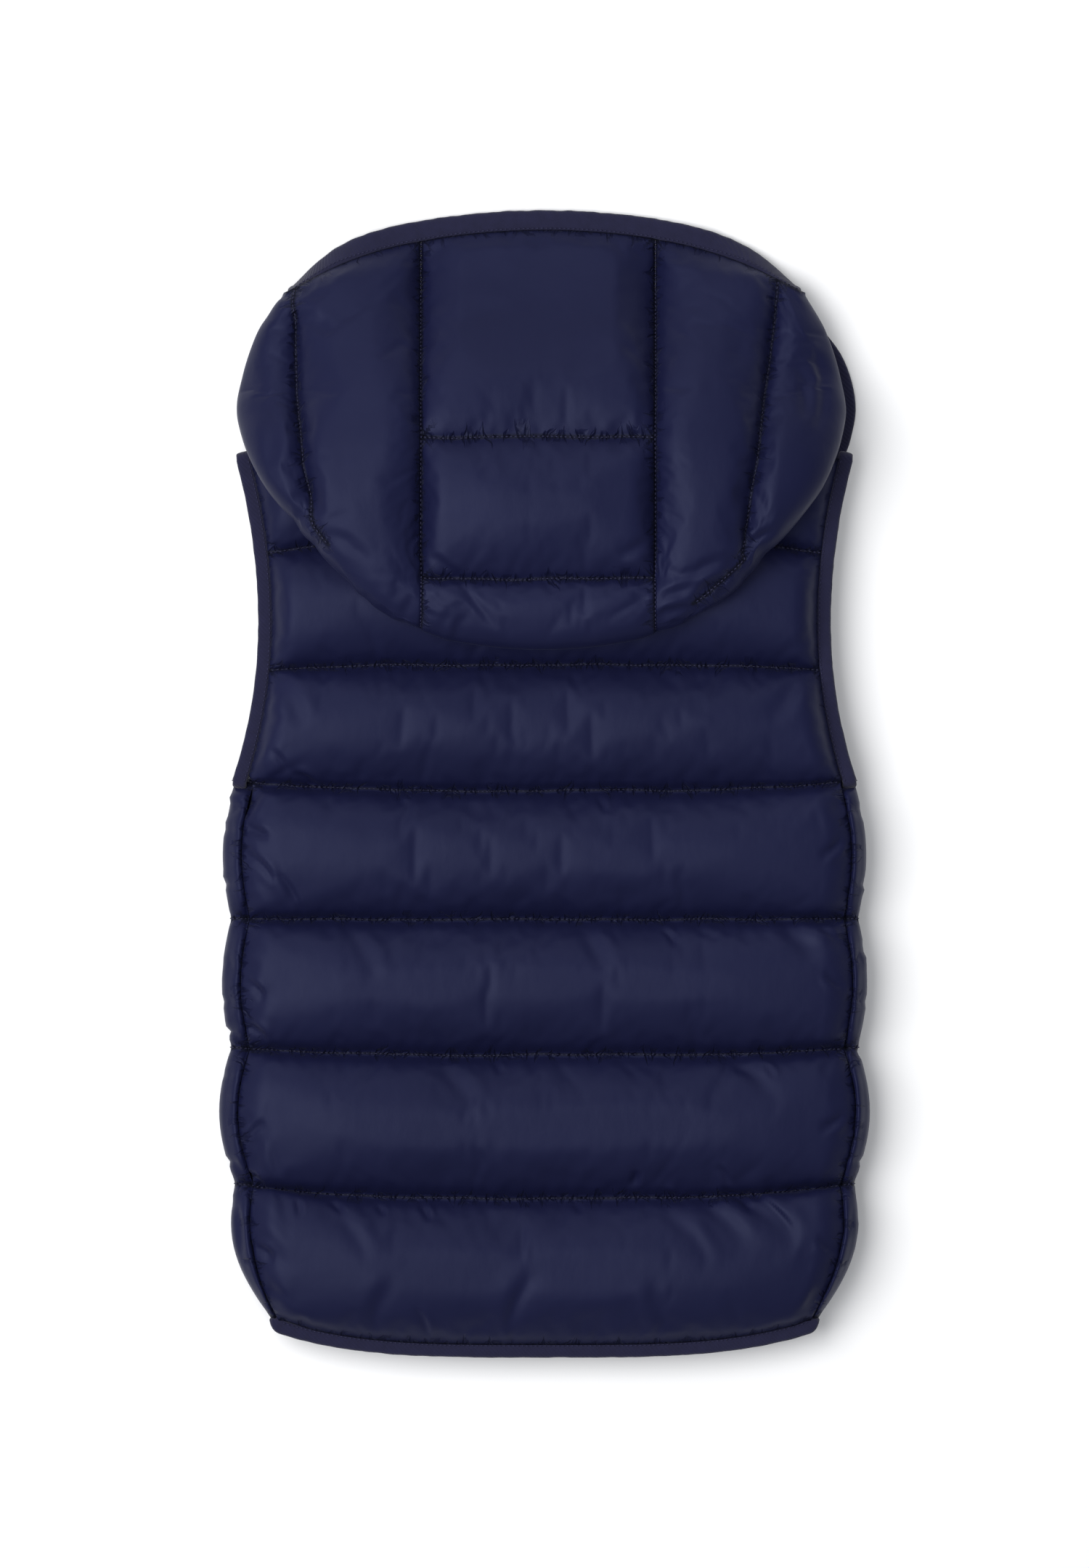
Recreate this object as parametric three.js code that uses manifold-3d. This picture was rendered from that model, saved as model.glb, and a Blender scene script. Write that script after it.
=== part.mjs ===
// A child's hooded quilted vest, closed and laid face down, with its hood folded down onto the back.
// Millimetres. +X is to the right as seen from above, +Y is towards the hood, +Z is up. The origin is
// on the surface that the vest lies on, under the middle of its outline.
import * as THREE from "three";
import { mergeVertices } from "three/addons/utils/BufferGeometryUtils.js";
import Module from "manifold-3d";

const wasm = await Module();
wasm.setup();

// Heights of the two padded layers of the body
const SEAM_GAP = 0.3;
const BACK_INSIDE = 21.15; // plain inner face of the back
const FRONT_INSIDE = 20.6; // plain inner face of the fronts, just under it
const STITCHED = 4; // thickness where the padding is stitched flat
const BACK_LOFT = 17; // padding that a roll adds at its crown
const FRONT_LOFT = FRONT_INSIDE - STITCHED;
const EDGE_RISE = 15; // distance from a side edge over which the padding comes up to its full height

// Quilting lines from the hem up. side and centre are the line's place at the side seams and at the
// centre back, zip is its place at the front zip, half is the vest's half width there and bulge is how
// far the roll above it stands out at the side. loft is that roll's share of the full padding.
const quiltLines = [
  { name: "hem", side: -294, centre: -309, zip: -307, half: 151, bulge: 10, loft: 1 },
  { name: "first", side: -220, centre: -228, zip: -226, half: 170.6, bulge: 7.6, loft: 1 },
  { name: "second", side: -145, centre: -149, zip: -148, half: 172.8, bulge: 5, loft: 1 },
  { name: "third", side: -74, centre: -74.6, zip: -75, half: 172.8, bulge: 5.6, loft: 1 },
  { name: "fourth", side: 2, centre: -3.5, zip: -4, half: 170.6, bulge: 0, loft: 1 },
  { name: "fifth", side: 62, centre: 65.6, zip: 60, half: 159, bulge: 0, loft: 1 },
  { name: "yoke", side: 126, centre: 134, zip: 108, half: 160.7, bulge: 0, loft: 0.7 },
];
const ROLL_STEPS = [0, 0.08, 0.25, 0.5, 0.75, 0.92]; // rows across one roll, as shares of its height

// Top edge: shoulders fall from the neck points to the shoulder tips
const NECK_HALF = 84;
const NECK_POINT_Y = 203;
const BACK_NECK_Y = 184;
const FRONT_NECK_Y = 133;
const SHOULDER_TIP = { x: 163, y: 179 };

// Armholes: the half width at the narrowest place, and how it grows to the underarm and the shoulder
const ARMHOLE = { narrowY: 88, half: 157.8, baseY: 4, baseAdd: 13.6, tipY: 177, tipAdd: 11.8 };
const FRONT_ARMHOLE_DEEPER = 7;
// Side seam inside the outline, seen from above: it runs out to the corner of the hem over the last stretch
const SIDE_INSET = { left: 10.5, right: 8, hem: 4.5, runOut: 40 };

// Bindings: folded elastic round each edge
const EDGE_BINDING = { wide: 6.6, thick: 4.2 };
const bindingReach = EDGE_BINDING.wide + SEAM_GAP + 0.45; // 0.45 for the straight steps of a curved edge
const HOOD_BINDING = { wide: 10.4, thick: 4.6 };
const BINDING_FOLD = 2.4; // half the height between the back and front runs of a binding
const BINDING_MIDDLE = (BACK_INSIDE + FRONT_INSIDE) / 2;

// Zip
const ZIP_EDGE = 7; // front edges stop here, each side of the zip
const ZIP_Z = 18.1;
const ZIP_RISE = 18; // distance from the zip over which the front's padding comes up
const TEETH = { half: 1.7, thick: 3, top: 126 };
const TAPE_THICK = 1.4;

// Hood: seams beside the middle strip, cross seams, and the heights it drapes over
const HOOD_SEAM = { left: -68, right: 61 };
const HOOD_CROSS_SEAMS = [190, 113];
const HOOD_TOP = { y: 316, bend: 4.4 / 58.6 ** 2 }; // arc of the face edge
const HOOD_BOTTOM = { y: 73.6, bend: 7.8 / 60 ** 2 }; // arc of the fold across the back
const HOOD_LOFT = 11;
const HOOD_STITCHED = 3.2;
const HOOD_EDGE = 2.2; // thickness where the fold ends, out of sight
const HOOD_SEAM_RISE = 16;
const HOOD_FACE_RISE = 14;
const HOOD_LINE_RISE = 13;
// Inner face of the upper layer: its height over the back and at the face edge, which lies on the
// table past the shoulders, and where it comes down between them
const HOOD_DRAPE = { overBody: 56, onTable: 0.7, from: 178, to: 298 };
const HOOD_SIDEWAYS = { from: 60, over: 105, power: 1.4 }; // how it falls off towards the folds
// The fold: pad is the padding outside the inner face, round the plan distance over which the upper
// layer rounds down, under how far it tucks back, middle and top heights above its lowest point
const FOLD = { pad: 11, round: 20, under: 7, middle: 8, top: 13.7, turn: 80, down: 5.6 };

// Lowest point of the hood's fold as it leaves the back, passes the shoulders and meets the table
const foldFeet = [
  { y: 126, z: 42.8 },
  { y: 148, z: 41.5 },
  { y: 172, z: 39.5 },
  { y: 186, z: 31 },
  { y: 200, z: 16 },
  { y: 216, z: 5.6 },
];

// Outline of the hood's fold on either side, from the face edge round to the bottom of the seam
const foldOutline = [
  { x: 143, y: 273.5 },
  { x: 156.5, y: 250 },
  { x: 166, y: 224 },
  { x: 169.5, y: 200 },
  { x: 157, y: 168 },
  { x: 131, y: 134 },
  { x: 100, y: 103 },
  { x: 68, y: 83.6 },
];

// Quilting line down each side of the hood, as a share of the way from the seam to the fold
const hoodSideLine = {
  left: [
    { along: 0, share: 0.92 },
    { along: 0.12, share: 0.78 },
    { along: 0.3, share: 0.67 },
    { along: 0.48, share: 0.74 },
    { along: 0.64, share: 0.93 },
    { along: 1, share: 0.93 },
  ],
  right: [
    { along: 0, share: 0.86 },
    { along: 0.15, share: 0.64 },
    { along: 0.35, share: 0.53 },
    { along: 0.6, share: 0.62 },
    { along: 0.82, share: 0.93 },
    { along: 1, share: 0.93 },
  ],
};

const mix = (a, b, t) => a + (b - a) * t;
const clamp = (t) => Math.min(1, Math.max(0, t));
const ease = (from, to, at) => {
  const t = clamp((at - from) / (to - from));
  return t * t * (3 - 2 * t);
};
const signedPower = (value, power) => Math.sign(value) * Math.abs(value) ** power;

// A value read off a short table by easing between the two rows around the place asked for.
function fromTable(rows, key, value, at) {
  if (at <= rows[0][key]) return rows[0][value];
  for (let i = 1; i < rows.length; i++) {
    const [low, high] = [rows[i - 1], rows[i]];
    if (at <= high[key]) return mix(low[value], high[value], ease(low[key], high[key], at));
  }
  return rows[rows.length - 1][value];
}

// Height share of a padded roll at t across it, 0 at its two stitching lines and 1 over the crown.
const pillow = (t) => (1 - Math.abs(2 * t - 1) ** 2.4) ** 0.55;
// The same from one edge only: d is the distance from the stitched edge.
const rise = (d, over) => (1 - (1 - clamp(d / over)) ** 2.2) ** 0.6;

// Moves every vertex of a closed geometry by a function and returns it as one closed surface facing out.
function bend(geometry, place) {
  const position = geometry.getAttribute("position");
  const point = new THREE.Vector3();
  for (let k = 0; k < position.count; k++) {
    point.fromBufferAttribute(position, k);
    const moved = place(point);
    position.setXYZ(k, moved.x, moved.y, moved.z);
  }
  geometry.deleteAttribute("normal");
  geometry.deleteAttribute("uv");
  const closed = mergeVertices(geometry, 1e-3);
  const at = closed.getAttribute("position");
  const index = closed.getIndex();
  const [a, b, c] = [new THREE.Vector3(), new THREE.Vector3(), new THREE.Vector3()];
  let volume = 0;
  for (let k = 0; k < index.count; k += 3) {
    a.fromBufferAttribute(at, index.getX(k));
    b.fromBufferAttribute(at, index.getX(k + 1));
    c.fromBufferAttribute(at, index.getX(k + 2));
    volume += a.dot(b.cross(c));
  }
  if (volume < 0) {
    for (let k = 0; k < index.count; k += 3) {
      const second = index.getX(k + 1);
      index.setX(k + 1, index.getX(k + 2));
      index.setX(k + 2, second);
    }
  }
  closed.computeVertexNormals();
  return closed;
}

// A wall of cloth: a slab of columns by rows whose two faces are placed by (column, row).
function wall(columns, rows, inside, outside) {
  const slab = new THREE.BoxGeometry(columns, rows, 1, columns, rows, 1);
  return bend(slab, (p) => {
    const column = Math.round(p.x + columns / 2);
    const row = Math.round(p.y + rows / 2);
    return p.z > 0 ? outside(column, row) : inside(column, row);
  });
}

// A padded wall over a plain inner surface: the outer face stands off it by the thickness given. Along
// a cut edge it stands square to that edge, whose direction away from the wall is edgeOut.
function paddedWall(columns, rows, inside, thickness, outward, edgeOut) {
  const normalAt = (i, j) => {
    const across = inside(Math.min(i + 1, columns), j).clone().sub(inside(Math.max(i - 1, 0), j));
    const along = inside(i, Math.min(j + 1, rows)).clone().sub(inside(i, Math.max(j - 1, 0)));
    const normal = across.cross(along);
    if (j === 0) normal.addScaledVector(edgeOut, -normal.dot(edgeOut));
    return normal.normalize().multiplyScalar(outward);
  };
  const outside = (i, j) => inside(i, j).clone().addScaledVector(normalAt(i, j), thickness(i, j));
  return wall(columns, rows, inside, outside);
}

// A folded strip along a path of { at, out } stations: at is its middle and out its width direction.
function strip(stations, { wide, thick }, closed) {
  const count = closed ? stations.length : stations.length - 1;
  const step = (k) => (closed ? (k + stations.length) % stations.length : Math.min(count, Math.max(0, k)));
  const place = (k, angle, reach) => {
    const { at, out } = stations[step(k)];
    const run = stations[step(k + 1)].at.clone().sub(stations[step(k - 1)].at).normalize();
    const face = run.cross(out).normalize();
    return at
      .clone()
      .addScaledVector(out, (reach * wide * signedPower(Math.cos(angle), 0.6)) / 2)
      .addScaledVector(face, (reach * thick * signedPower(Math.sin(angle), 0.6)) / 2);
  };
  const SIDES = 8;
  if (!closed) {
    const rod = new THREE.CylinderGeometry(1, 1, count, SIDES, count);
    return bend(rod, (p) =>
      place(Math.round(p.y + count / 2), Math.atan2(p.z, p.x), Math.hypot(p.x, p.z)),
    );
  }
  const ring = new THREE.TorusGeometry(3, 1, SIDES, count);
  return bend(ring, (p) => {
    const round = Math.atan2(p.y, p.x) / (2 * Math.PI);
    return place(Math.round(round * count), Math.atan2(p.z, Math.hypot(p.x, p.y) - 3), 1);
  });
}

// The body's outline and its rows of quilting

function armholeHalf(y) {
  const { narrowY, half, baseY, baseAdd, tipY, tipAdd } = ARMHOLE;
  const up = (y - narrowY) / (tipY - narrowY);
  const down = (narrowY - y) / (narrowY - baseY);
  return y > narrowY ? half + tipAdd * up * up : half + baseAdd * down * down;
}

const topEdge = (x, neckY) => {
  const off = Math.abs(x);
  if (off < NECK_HALF) return neckY + (NECK_POINT_Y - neckY) * (off / NECK_HALF) ** 2.2;
  return mix(NECK_POINT_Y, SHOULDER_TIP.y, (off - NECK_HALF) / (SHOULDER_TIP.x - NECK_HALF));
};

const ROLLS = quiltLines.length;
const HEM_SIDE_Y = quiltLines[0].side;
const ROW_COUNT = ROLLS * ROLL_STEPS.length;
// Which roll a row is in, and how far up it.
function rowPlace(row) {
  if (row === ROW_COUNT) return { roll: ROLLS - 1, t: 1 };
  return { roll: Math.floor(row / ROLL_STEPS.length), t: ROLL_STEPS[row % ROLL_STEPS.length] };
}
// Half width of the whole vest at a row, with the rolls standing out between their stitching.
function outlineHalf(row) {
  const { roll, t } = rowPlace(row);
  const line = quiltLines[roll];
  if (line.bulge === 0) return armholeHalf(Math.max(ARMHOLE.baseY, sideY(row)));
  return mix(line.half, quiltLines[roll + 1].half, t) + line.bulge * Math.sin(Math.PI * t);
}
const sideY = (row) => {
  const { roll, t } = rowPlace(row);
  const next = quiltLines[roll + 1];
  return mix(quiltLines[roll].side, next ? next.side : SHOULDER_TIP.y, t);
};
// Height in plan of a row at x: its lines dip or rise towards the middle.
function rowY(row, x, middle, neckY) {
  const { roll, t } = rowPlace(row);
  const bow = 1 - clamp(Math.abs(x) / quiltLines[roll].half) ** 3.6;
  const lineY = (line) => mix(line.side, line[middle], bow);
  const next = quiltLines[roll + 1];
  return mix(lineY(quiltLines[roll]), next ? lineY(next) : topEdge(x, neckY), t);
}
// 0 below the underarm, 1 above it. The fronts' wrap first comes down and then in, under the back's edge.
const UNDERARM = { back: [2.1, 6.5], frontIn: [2.1, 6.5], frontDown: [-4, 1.9] };
const pastUnderarm = (row, what) => ease(...UNDERARM[what], sideY(row));
// Outer line of an armhole's binding, cut deeper in front than on the back.
function armholeLine(y, deeper) {
  const up = clamp((y - ARMHOLE.baseY) / (ARMHOLE.tipY - ARMHOLE.baseY));
  return armholeHalf(y) - deeper * Math.sin(Math.PI * up);
}
// Edge of a panel at the armhole, inside its binding: the binding is as wide square to the edge.
function armholeEdge(row, deeper) {
  const y = Math.max(ARMHOLE.baseY, sideY(row));
  const slope = armholeLine(y + 0.5, deeper) - armholeLine(y - 0.5, deeper);
  return armholeLine(y, deeper) - bindingReach * Math.hypot(1, slope);
}

// Back panel

const EDGE_COLUMNS = [0, 2.5, 7, 14]; // distances from a stitched edge, in millimetres
const MIDDLE_COLUMNS = 8;
const BACK_COLUMNS = 2 * EDGE_COLUMNS.length + MIDDLE_COLUMNS - 1;

// Edge of the back on either side: its side seam, and above that its armhole.
function backEdge(row, side) {
  const up = ease(HEM_SIDE_Y, HEM_SIDE_Y + SIDE_INSET.runOut, sideY(row));
  const seam = outlineHalf(row) - mix(SIDE_INSET.hem, SIDE_INSET[side], up);
  return mix(seam, armholeEdge(row, 0), pastUnderarm(row, "back"));
}
function backX(column, row) {
  const left = -backEdge(row, "left");
  const right = backEdge(row, "right");
  const edges = EDGE_COLUMNS.length;
  const last = EDGE_COLUMNS[edges - 1];
  if (column < edges) return left + EDGE_COLUMNS[column];
  if (column > BACK_COLUMNS - edges) return right - EDGE_COLUMNS[BACK_COLUMNS - column];
  return mix(left + last, right - last, (column - edges + 1) / (MIDDLE_COLUMNS + 1));
}
function backPanel() {
  const inside = (i, j) => {
    const x = backX(i, j);
    return new THREE.Vector3(x, rowY(j, x, "centre", BACK_NECK_Y), BACK_INSIDE);
  };
  const thickness = (i, j) => {
    const { roll, t } = rowPlace(j);
    const fromEdge = Math.min(backX(i, j) - backX(0, j), backX(BACK_COLUMNS, j) - backX(i, j));
    return STITCHED + BACK_LOFT * quiltLines[roll].loft * pillow(t) * rise(fromEdge, EDGE_RISE);
  };
  const outside = (i, j) => inside(i, j).add(new THREE.Vector3(0, 0, thickness(i, j)));
  return wall(BACK_COLUMNS, ROW_COUNT, inside, outside);
}

// Front panels: flat on the table, wrapped up round the sides to the side seams on the back

const FRONT_FLAT = [0, 2.5, 8, 16]; // distances from the zip edge
const FRONT_MIDDLE = 3;
const WRAP_TURN = [-90, -60, -30, 0, 35, 75, 115, 150]; // degrees round the side
const FRONT_COLUMNS = FRONT_FLAT.length + FRONT_MIDDLE + WRAP_TURN.length;
const EDGE_SPREAD = 9; // the same columns, spread flat at the armhole
const FLAT_BEFORE = { seam: 8, armhole: 15 }; // where the flat part ends, inside the seam or the armhole
const WRAP = { thin: 3, loft: 6.5, round: 1.2, cornerPower: 0.8, flattened: 1.3 };
const SEAM_TOP = { in: 2.6, out: 3.4 }; // heights of the wrap's edge over the back's inner face
const INNER_TURN = [0.4, 0.7]; // shares of the wrap's columns before and after its inner corner

function frontPanel(side) {
  const sign = side === "left" ? -1 : 1;
  // The section of a row: its flat part, and the wrap or the plain armhole edge.
  const section = (i, row) => {
    const { roll, t } = rowPlace(row);
    const inward = pastUnderarm(row, "frontIn");
    const downward = pastUnderarm(row, "frontDown");
    const seamX = backEdge(row, side) + 2 * SEAM_GAP;
    const half = outlineHalf(row);
    const armhole = armholeEdge(row, FRONT_ARMHOLE_DEEPER);
    const full = quiltLines[roll].loft * Math.min(1, WRAP.flattened * pillow(t));
    const flatEnd = mix(seamX - FLAT_BEFORE.seam, armhole - FLAT_BEFORE.armhole, inward);
    const flats = FRONT_FLAT.length + FRONT_MIDDLE;
    if (i < flats) {
      const last = FRONT_FLAT[FRONT_FLAT.length - 1];
      const x =
        i < FRONT_FLAT.length
          ? ZIP_EDGE + FRONT_FLAT[i]
          : mix(ZIP_EDGE + last, flatEnd, (i - FRONT_FLAT.length + 1) / (FRONT_MIDDLE + 1));
      const depth = STITCHED + FRONT_LOFT * full * rise(x - ZIP_EDGE, ZIP_RISE);
      return { in: [x, FRONT_INSIDE], out: [x, FRONT_INSIDE - depth] };
    }
    const k = i - flats;
    const turn = THREE.MathUtils.degToRad(WRAP_TURN[Math.min(k, WRAP_TURN.length - 1)]);
    const down = STITCHED + FRONT_LOFT * full;
    const up = WRAP.thin + WRAP.loft * full;
    const wrapIn = innerTurn(seamX, k);
    let wrapOut;
    if (k === WRAP_TURN.length) wrapOut = [seamX, BACK_INSIDE + SEAM_TOP.out];
    else if (turn <= 0) {
      wrapOut = [
        flatEnd + (half - flatEnd) * signedPower(Math.cos(turn), WRAP.cornerPower),
        FRONT_INSIDE + down * signedPower(Math.sin(turn), WRAP.cornerPower),
      ];
    } else {
      const middle = (half + seamX) / 2;
      wrapOut = [middle + (half - middle) * Math.cos(turn), FRONT_INSIDE + up * Math.sin(turn)];
    }
    const edgeX = armhole - EDGE_SPREAD * (1 - k / WRAP_TURN.length);
    const edgeDepth = STITCHED + FRONT_LOFT * full * rise(armhole - edgeX, EDGE_RISE);
    const shift = (from, to) => [mix(from[0], to[0], inward), mix(from[1], to[1], downward)];
    return {
      in: shift(wrapIn, [edgeX, FRONT_INSIDE]),
      out: shift(wrapOut, [edgeX, FRONT_INSIDE - edgeDepth]),
    };
  };
  // Inner face of the wrap: out along the back panel's underside, then up past its edge.
  const innerTurn = (seamX, k) => {
    const { round } = WRAP;
    const [before, after] = INNER_TURN;
    const share = k / WRAP_TURN.length;
    if (share <= before) {
      return [mix(seamX - FLAT_BEFORE.seam, seamX - round, share / before), FRONT_INSIDE];
    }
    if (share <= after) {
      const turn = (((share - before) / (after - before)) * Math.PI) / 2;
      return [seamX - round + round * Math.sin(turn), FRONT_INSIDE + round - round * Math.cos(turn)];
    }
    const up = (share - after) / (1 - after);
    return [seamX, mix(FRONT_INSIDE + round, BACK_INSIDE + SEAM_TOP.in, up)];
  };
  const point = (i, j, face) => {
    const [x, z] = section(i, j)[face];
    return new THREE.Vector3(sign * x, rowY(j, x, "zip", FRONT_NECK_Y), z);
  };
  return wall(FRONT_COLUMNS, ROW_COUNT, (i, j) => point(i, j, "in"), (i, j) => point(i, j, "out"));
}

// Bindings of the hem and the armholes

// A run of stations along a plan curve at one height, each pushed out from the panel's edge.
function run(count, curve, z, offset) {
  const stations = [];
  for (let k = 0; k <= count; k++) {
    const at = curve(k / count);
    const ahead = curve(Math.min(1, k / count + 1e-3));
    const behind = curve(Math.max(0, k / count - 1e-3));
    const along = ahead.clone().sub(behind).normalize();
    const out = new THREE.Vector3(along.y, -along.x, 0);
    stations.push({ at: new THREE.Vector3(at.x, at.y, z).addScaledVector(out, offset), out });
  }
  return stations;
}
// The half turn in which a binding folds from one layer to the other, beyond the end of a run.
function turnOver(end, direction, from, to) {
  return [-60, -30, 0, 30, 60].map((degrees) => {
    const turn = THREE.MathUtils.degToRad(degrees);
    const at = end.at.clone().addScaledVector(direction, BINDING_FOLD * Math.cos(turn));
    at.z = mix(from, to, (1 + Math.sin(turn)) / 2);
    return { at, out: end.out };
  });
}

const ARMHOLE_ENDS = { low: ARMHOLE.baseY + 4.5, high: SHOULDER_TIP.y - 1.5 };
function armholeBinding(side) {
  const sign = side === "left" ? -1 : 1;
  const offset = -EDGE_BINDING.wide / 2;
  const upper = BINDING_MIDDLE + BINDING_FOLD;
  const lower = BINDING_MIDDLE - BINDING_FOLD;
  const edge = (deeper) => (t) => {
    const y = mix(ARMHOLE_ENDS.low, ARMHOLE_ENDS.high, t);
    return new THREE.Vector2(sign * armholeLine(y, deeper), y);
  };
  const outward = (stations) =>
    stations.map(({ at, out }) => {
      const facing = Math.sign(out.x) === sign ? 1 : -1;
      return { at: at.addScaledVector(out, offset * facing), out: out.clone().multiplyScalar(facing) };
    });
  const back = outward(run(16, edge(0), upper, 0));
  const front = outward(run(16, edge(FRONT_ARMHOLE_DEEPER), lower, 0)).reverse();
  const up = new THREE.Vector3(0, 1, 0);
  const top = turnOver(back[back.length - 1], up, upper, lower);
  const bottom = turnOver(front[front.length - 1], up.clone().negate(), lower, upper);
  return strip([...back, ...top, ...front, ...bottom], EDGE_BINDING, true);
}

const hemCorner = quiltLines[0].half - 7;
const hemFront = ZIP_EDGE + 0.5; // the binding's ends, beside the zip
function hemBinding() {
  const edge = (middle) => (x) => new THREE.Vector2(x, rowY(0, x, middle, 0));
  const offset = SEAM_GAP + EDGE_BINDING.wide / 2;
  const upper = BINDING_MIDDLE + BINDING_FOLD;
  const lower = BINDING_MIDDLE - BINDING_FOLD;
  const back = run(26, (t) => edge("centre")(mix(-hemCorner, hemCorner, t)), upper, offset);
  const right = run(12, (t) => edge("zip")(mix(hemFront, hemCorner, t)), lower, offset).reverse();
  const left = run(12, (t) => edge("zip")(mix(-hemCorner, -hemFront, t)), lower, offset).reverse();
  const sideways = new THREE.Vector3(1, 0, 0);
  const rightTurn = turnOver(back[back.length - 1], sideways, upper, lower);
  const leftTurn = turnOver(back[0], sideways.clone().negate(), lower, upper);
  return strip([...left, ...leftTurn, ...back, ...rightTurn, ...right], EDGE_BINDING, false);
}

// Hood

function hoodDrape(y) {
  const { overBody, onTable, from, to } = HOOD_DRAPE;
  return mix(overBody, onTable, ease(from, to, y));
}
const foldFoot = (y) => fromTable(foldFeet, "y", "z", y);
// Height of the upper layer's plain inner face at a place in plan, before the fold rounds it down.
function hoodInside(x, y) {
  const { from, over, power } = HOOD_SIDEWAYS;
  const sideways = ease(0, 1, clamp((Math.abs(x) - from) / over) ** power);
  return mix(hoodDrape(y), foldFoot(y) + FOLD.top, sideways);
}
// A point of the inner face along a rib: along runs from 0 at the rib's start to 1 at the fold's
// outermost place, and on past it to 2 where the fold has tucked under.
function foldPoint(start, end, along, lift) {
  const length = start.distanceTo(end);
  const plan = start.clone().lerp(end, Math.min(1, along));
  const middle = foldFoot(end.y) + FOLD.middle;
  if (along <= 1) {
    const round = Math.min(FOLD.round, 0.85 * length);
    const from = clamp(((1 - along) * length) / round);
    const drop = 1 - Math.sqrt(1 - (1 - from) ** 2);
    const top = hoodInside(plan.x, plan.y + lift);
    return new THREE.Vector3(plan.x, plan.y + lift, mix(top, middle, drop));
  }
  const turn = (along - 1) * THREE.MathUtils.degToRad(FOLD.turn);
  const back = start.clone().sub(end).normalize();
  const tucked = end.clone().addScaledVector(back, FOLD.under * (1 - Math.cos(turn)));
  return new THREE.Vector3(tucked.x, tucked.y, middle - FOLD.down * Math.sin(turn));
}
const ribLift = (bow, share) => (share < 1 ? bow * 4 * share * (1 - share) : 0);
const UNDER = [1.25, 1.55, 2]; // how far round the tucked part each row lies
const foldThickness = (along) => mix(FOLD.pad, HOOD_EDGE, ease(1, 2, along) ** 0.7);

const hoodTop = (x) => HOOD_TOP.y - HOOD_TOP.bend * x * x;
const hoodBottom = (x) => HOOD_BOTTOM.y + HOOD_BOTTOM.bend * x * x;
const hoodPanelTop = (x) => hoodTop(x) - HOOD_BINDING.wide - SEAM_GAP;
const FOLD_START_Y = 122; // the ribs of the fold start here on the seams
const FOLD_AT_SEAM = 0.35; // share of the fold's padding that is left at a seam

// Middle strip of the hood: three blocks between the seams, running from the face edge to the fold.
function hoodMiddle() {
  const across = [0, 0.04, 0.13, 0.3, 0.5, 0.7, 0.87, 0.96, 1];
  const columns = across.length - 1;
  const left = HOOD_SEAM.left + SEAM_GAP / 2;
  const right = HOOD_SEAM.right - SEAM_GAP / 2;
  const steps = [0, 0.07, 0.22, 0.5, 0.78, 0.93];
  const blocks = [
    { from: null, to: HOOD_CROSS_SEAMS[0] },
    { from: HOOD_CROSS_SEAMS[0], to: HOOD_CROSS_SEAMS[1] },
  ];
  const flat = blocks.flatMap((block) => steps.map((t) => ({ ...block, t })));
  const round = [0, 0.12, 0.35, 0.6, 0.8, 0.94, 1, ...UNDER];
  const rows = flat.length + round.length - 1;
  const inside = (i, j) => {
    const x = mix(left, right, across[i]);
    if (j < flat.length) {
      const { from, to, t } = flat[j];
      const y = mix(from ?? hoodPanelTop(x), to, t);
      return new THREE.Vector3(x, y, hoodInside(x, y));
    }
    const start = new THREE.Vector2(x, HOOD_CROSS_SEAMS[1]);
    const end = new THREE.Vector2(x, hoodBottom(x) + FOLD.pad);
    return foldPoint(start, end, round[j - flat.length], 0);
  };
  const thickness = (i, j) => {
    const x = mix(left, right, across[i]);
    const side = rise(Math.min(x - left, right - x), HOOD_SEAM_RISE);
    if (j < flat.length) return HOOD_STITCHED + HOOD_LOFT * pillow(flat[j].t) * side;
    const along = round[j - flat.length];
    const fromLine = along * (HOOD_CROSS_SEAMS[1] - HOOD_BOTTOM.y - FOLD.pad);
    const pad = (foldThickness(along) - HOOD_EDGE) * rise(fromLine, HOOD_FACE_RISE);
    return mix(HOOD_STITCHED, HOOD_EDGE, clamp(along - 1)) + pad * mix(FOLD_AT_SEAM, 1, side);
  };
  return paddedWall(columns, rows, inside, thickness, -1, new THREE.Vector3(0, 1, 0));
}

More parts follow.
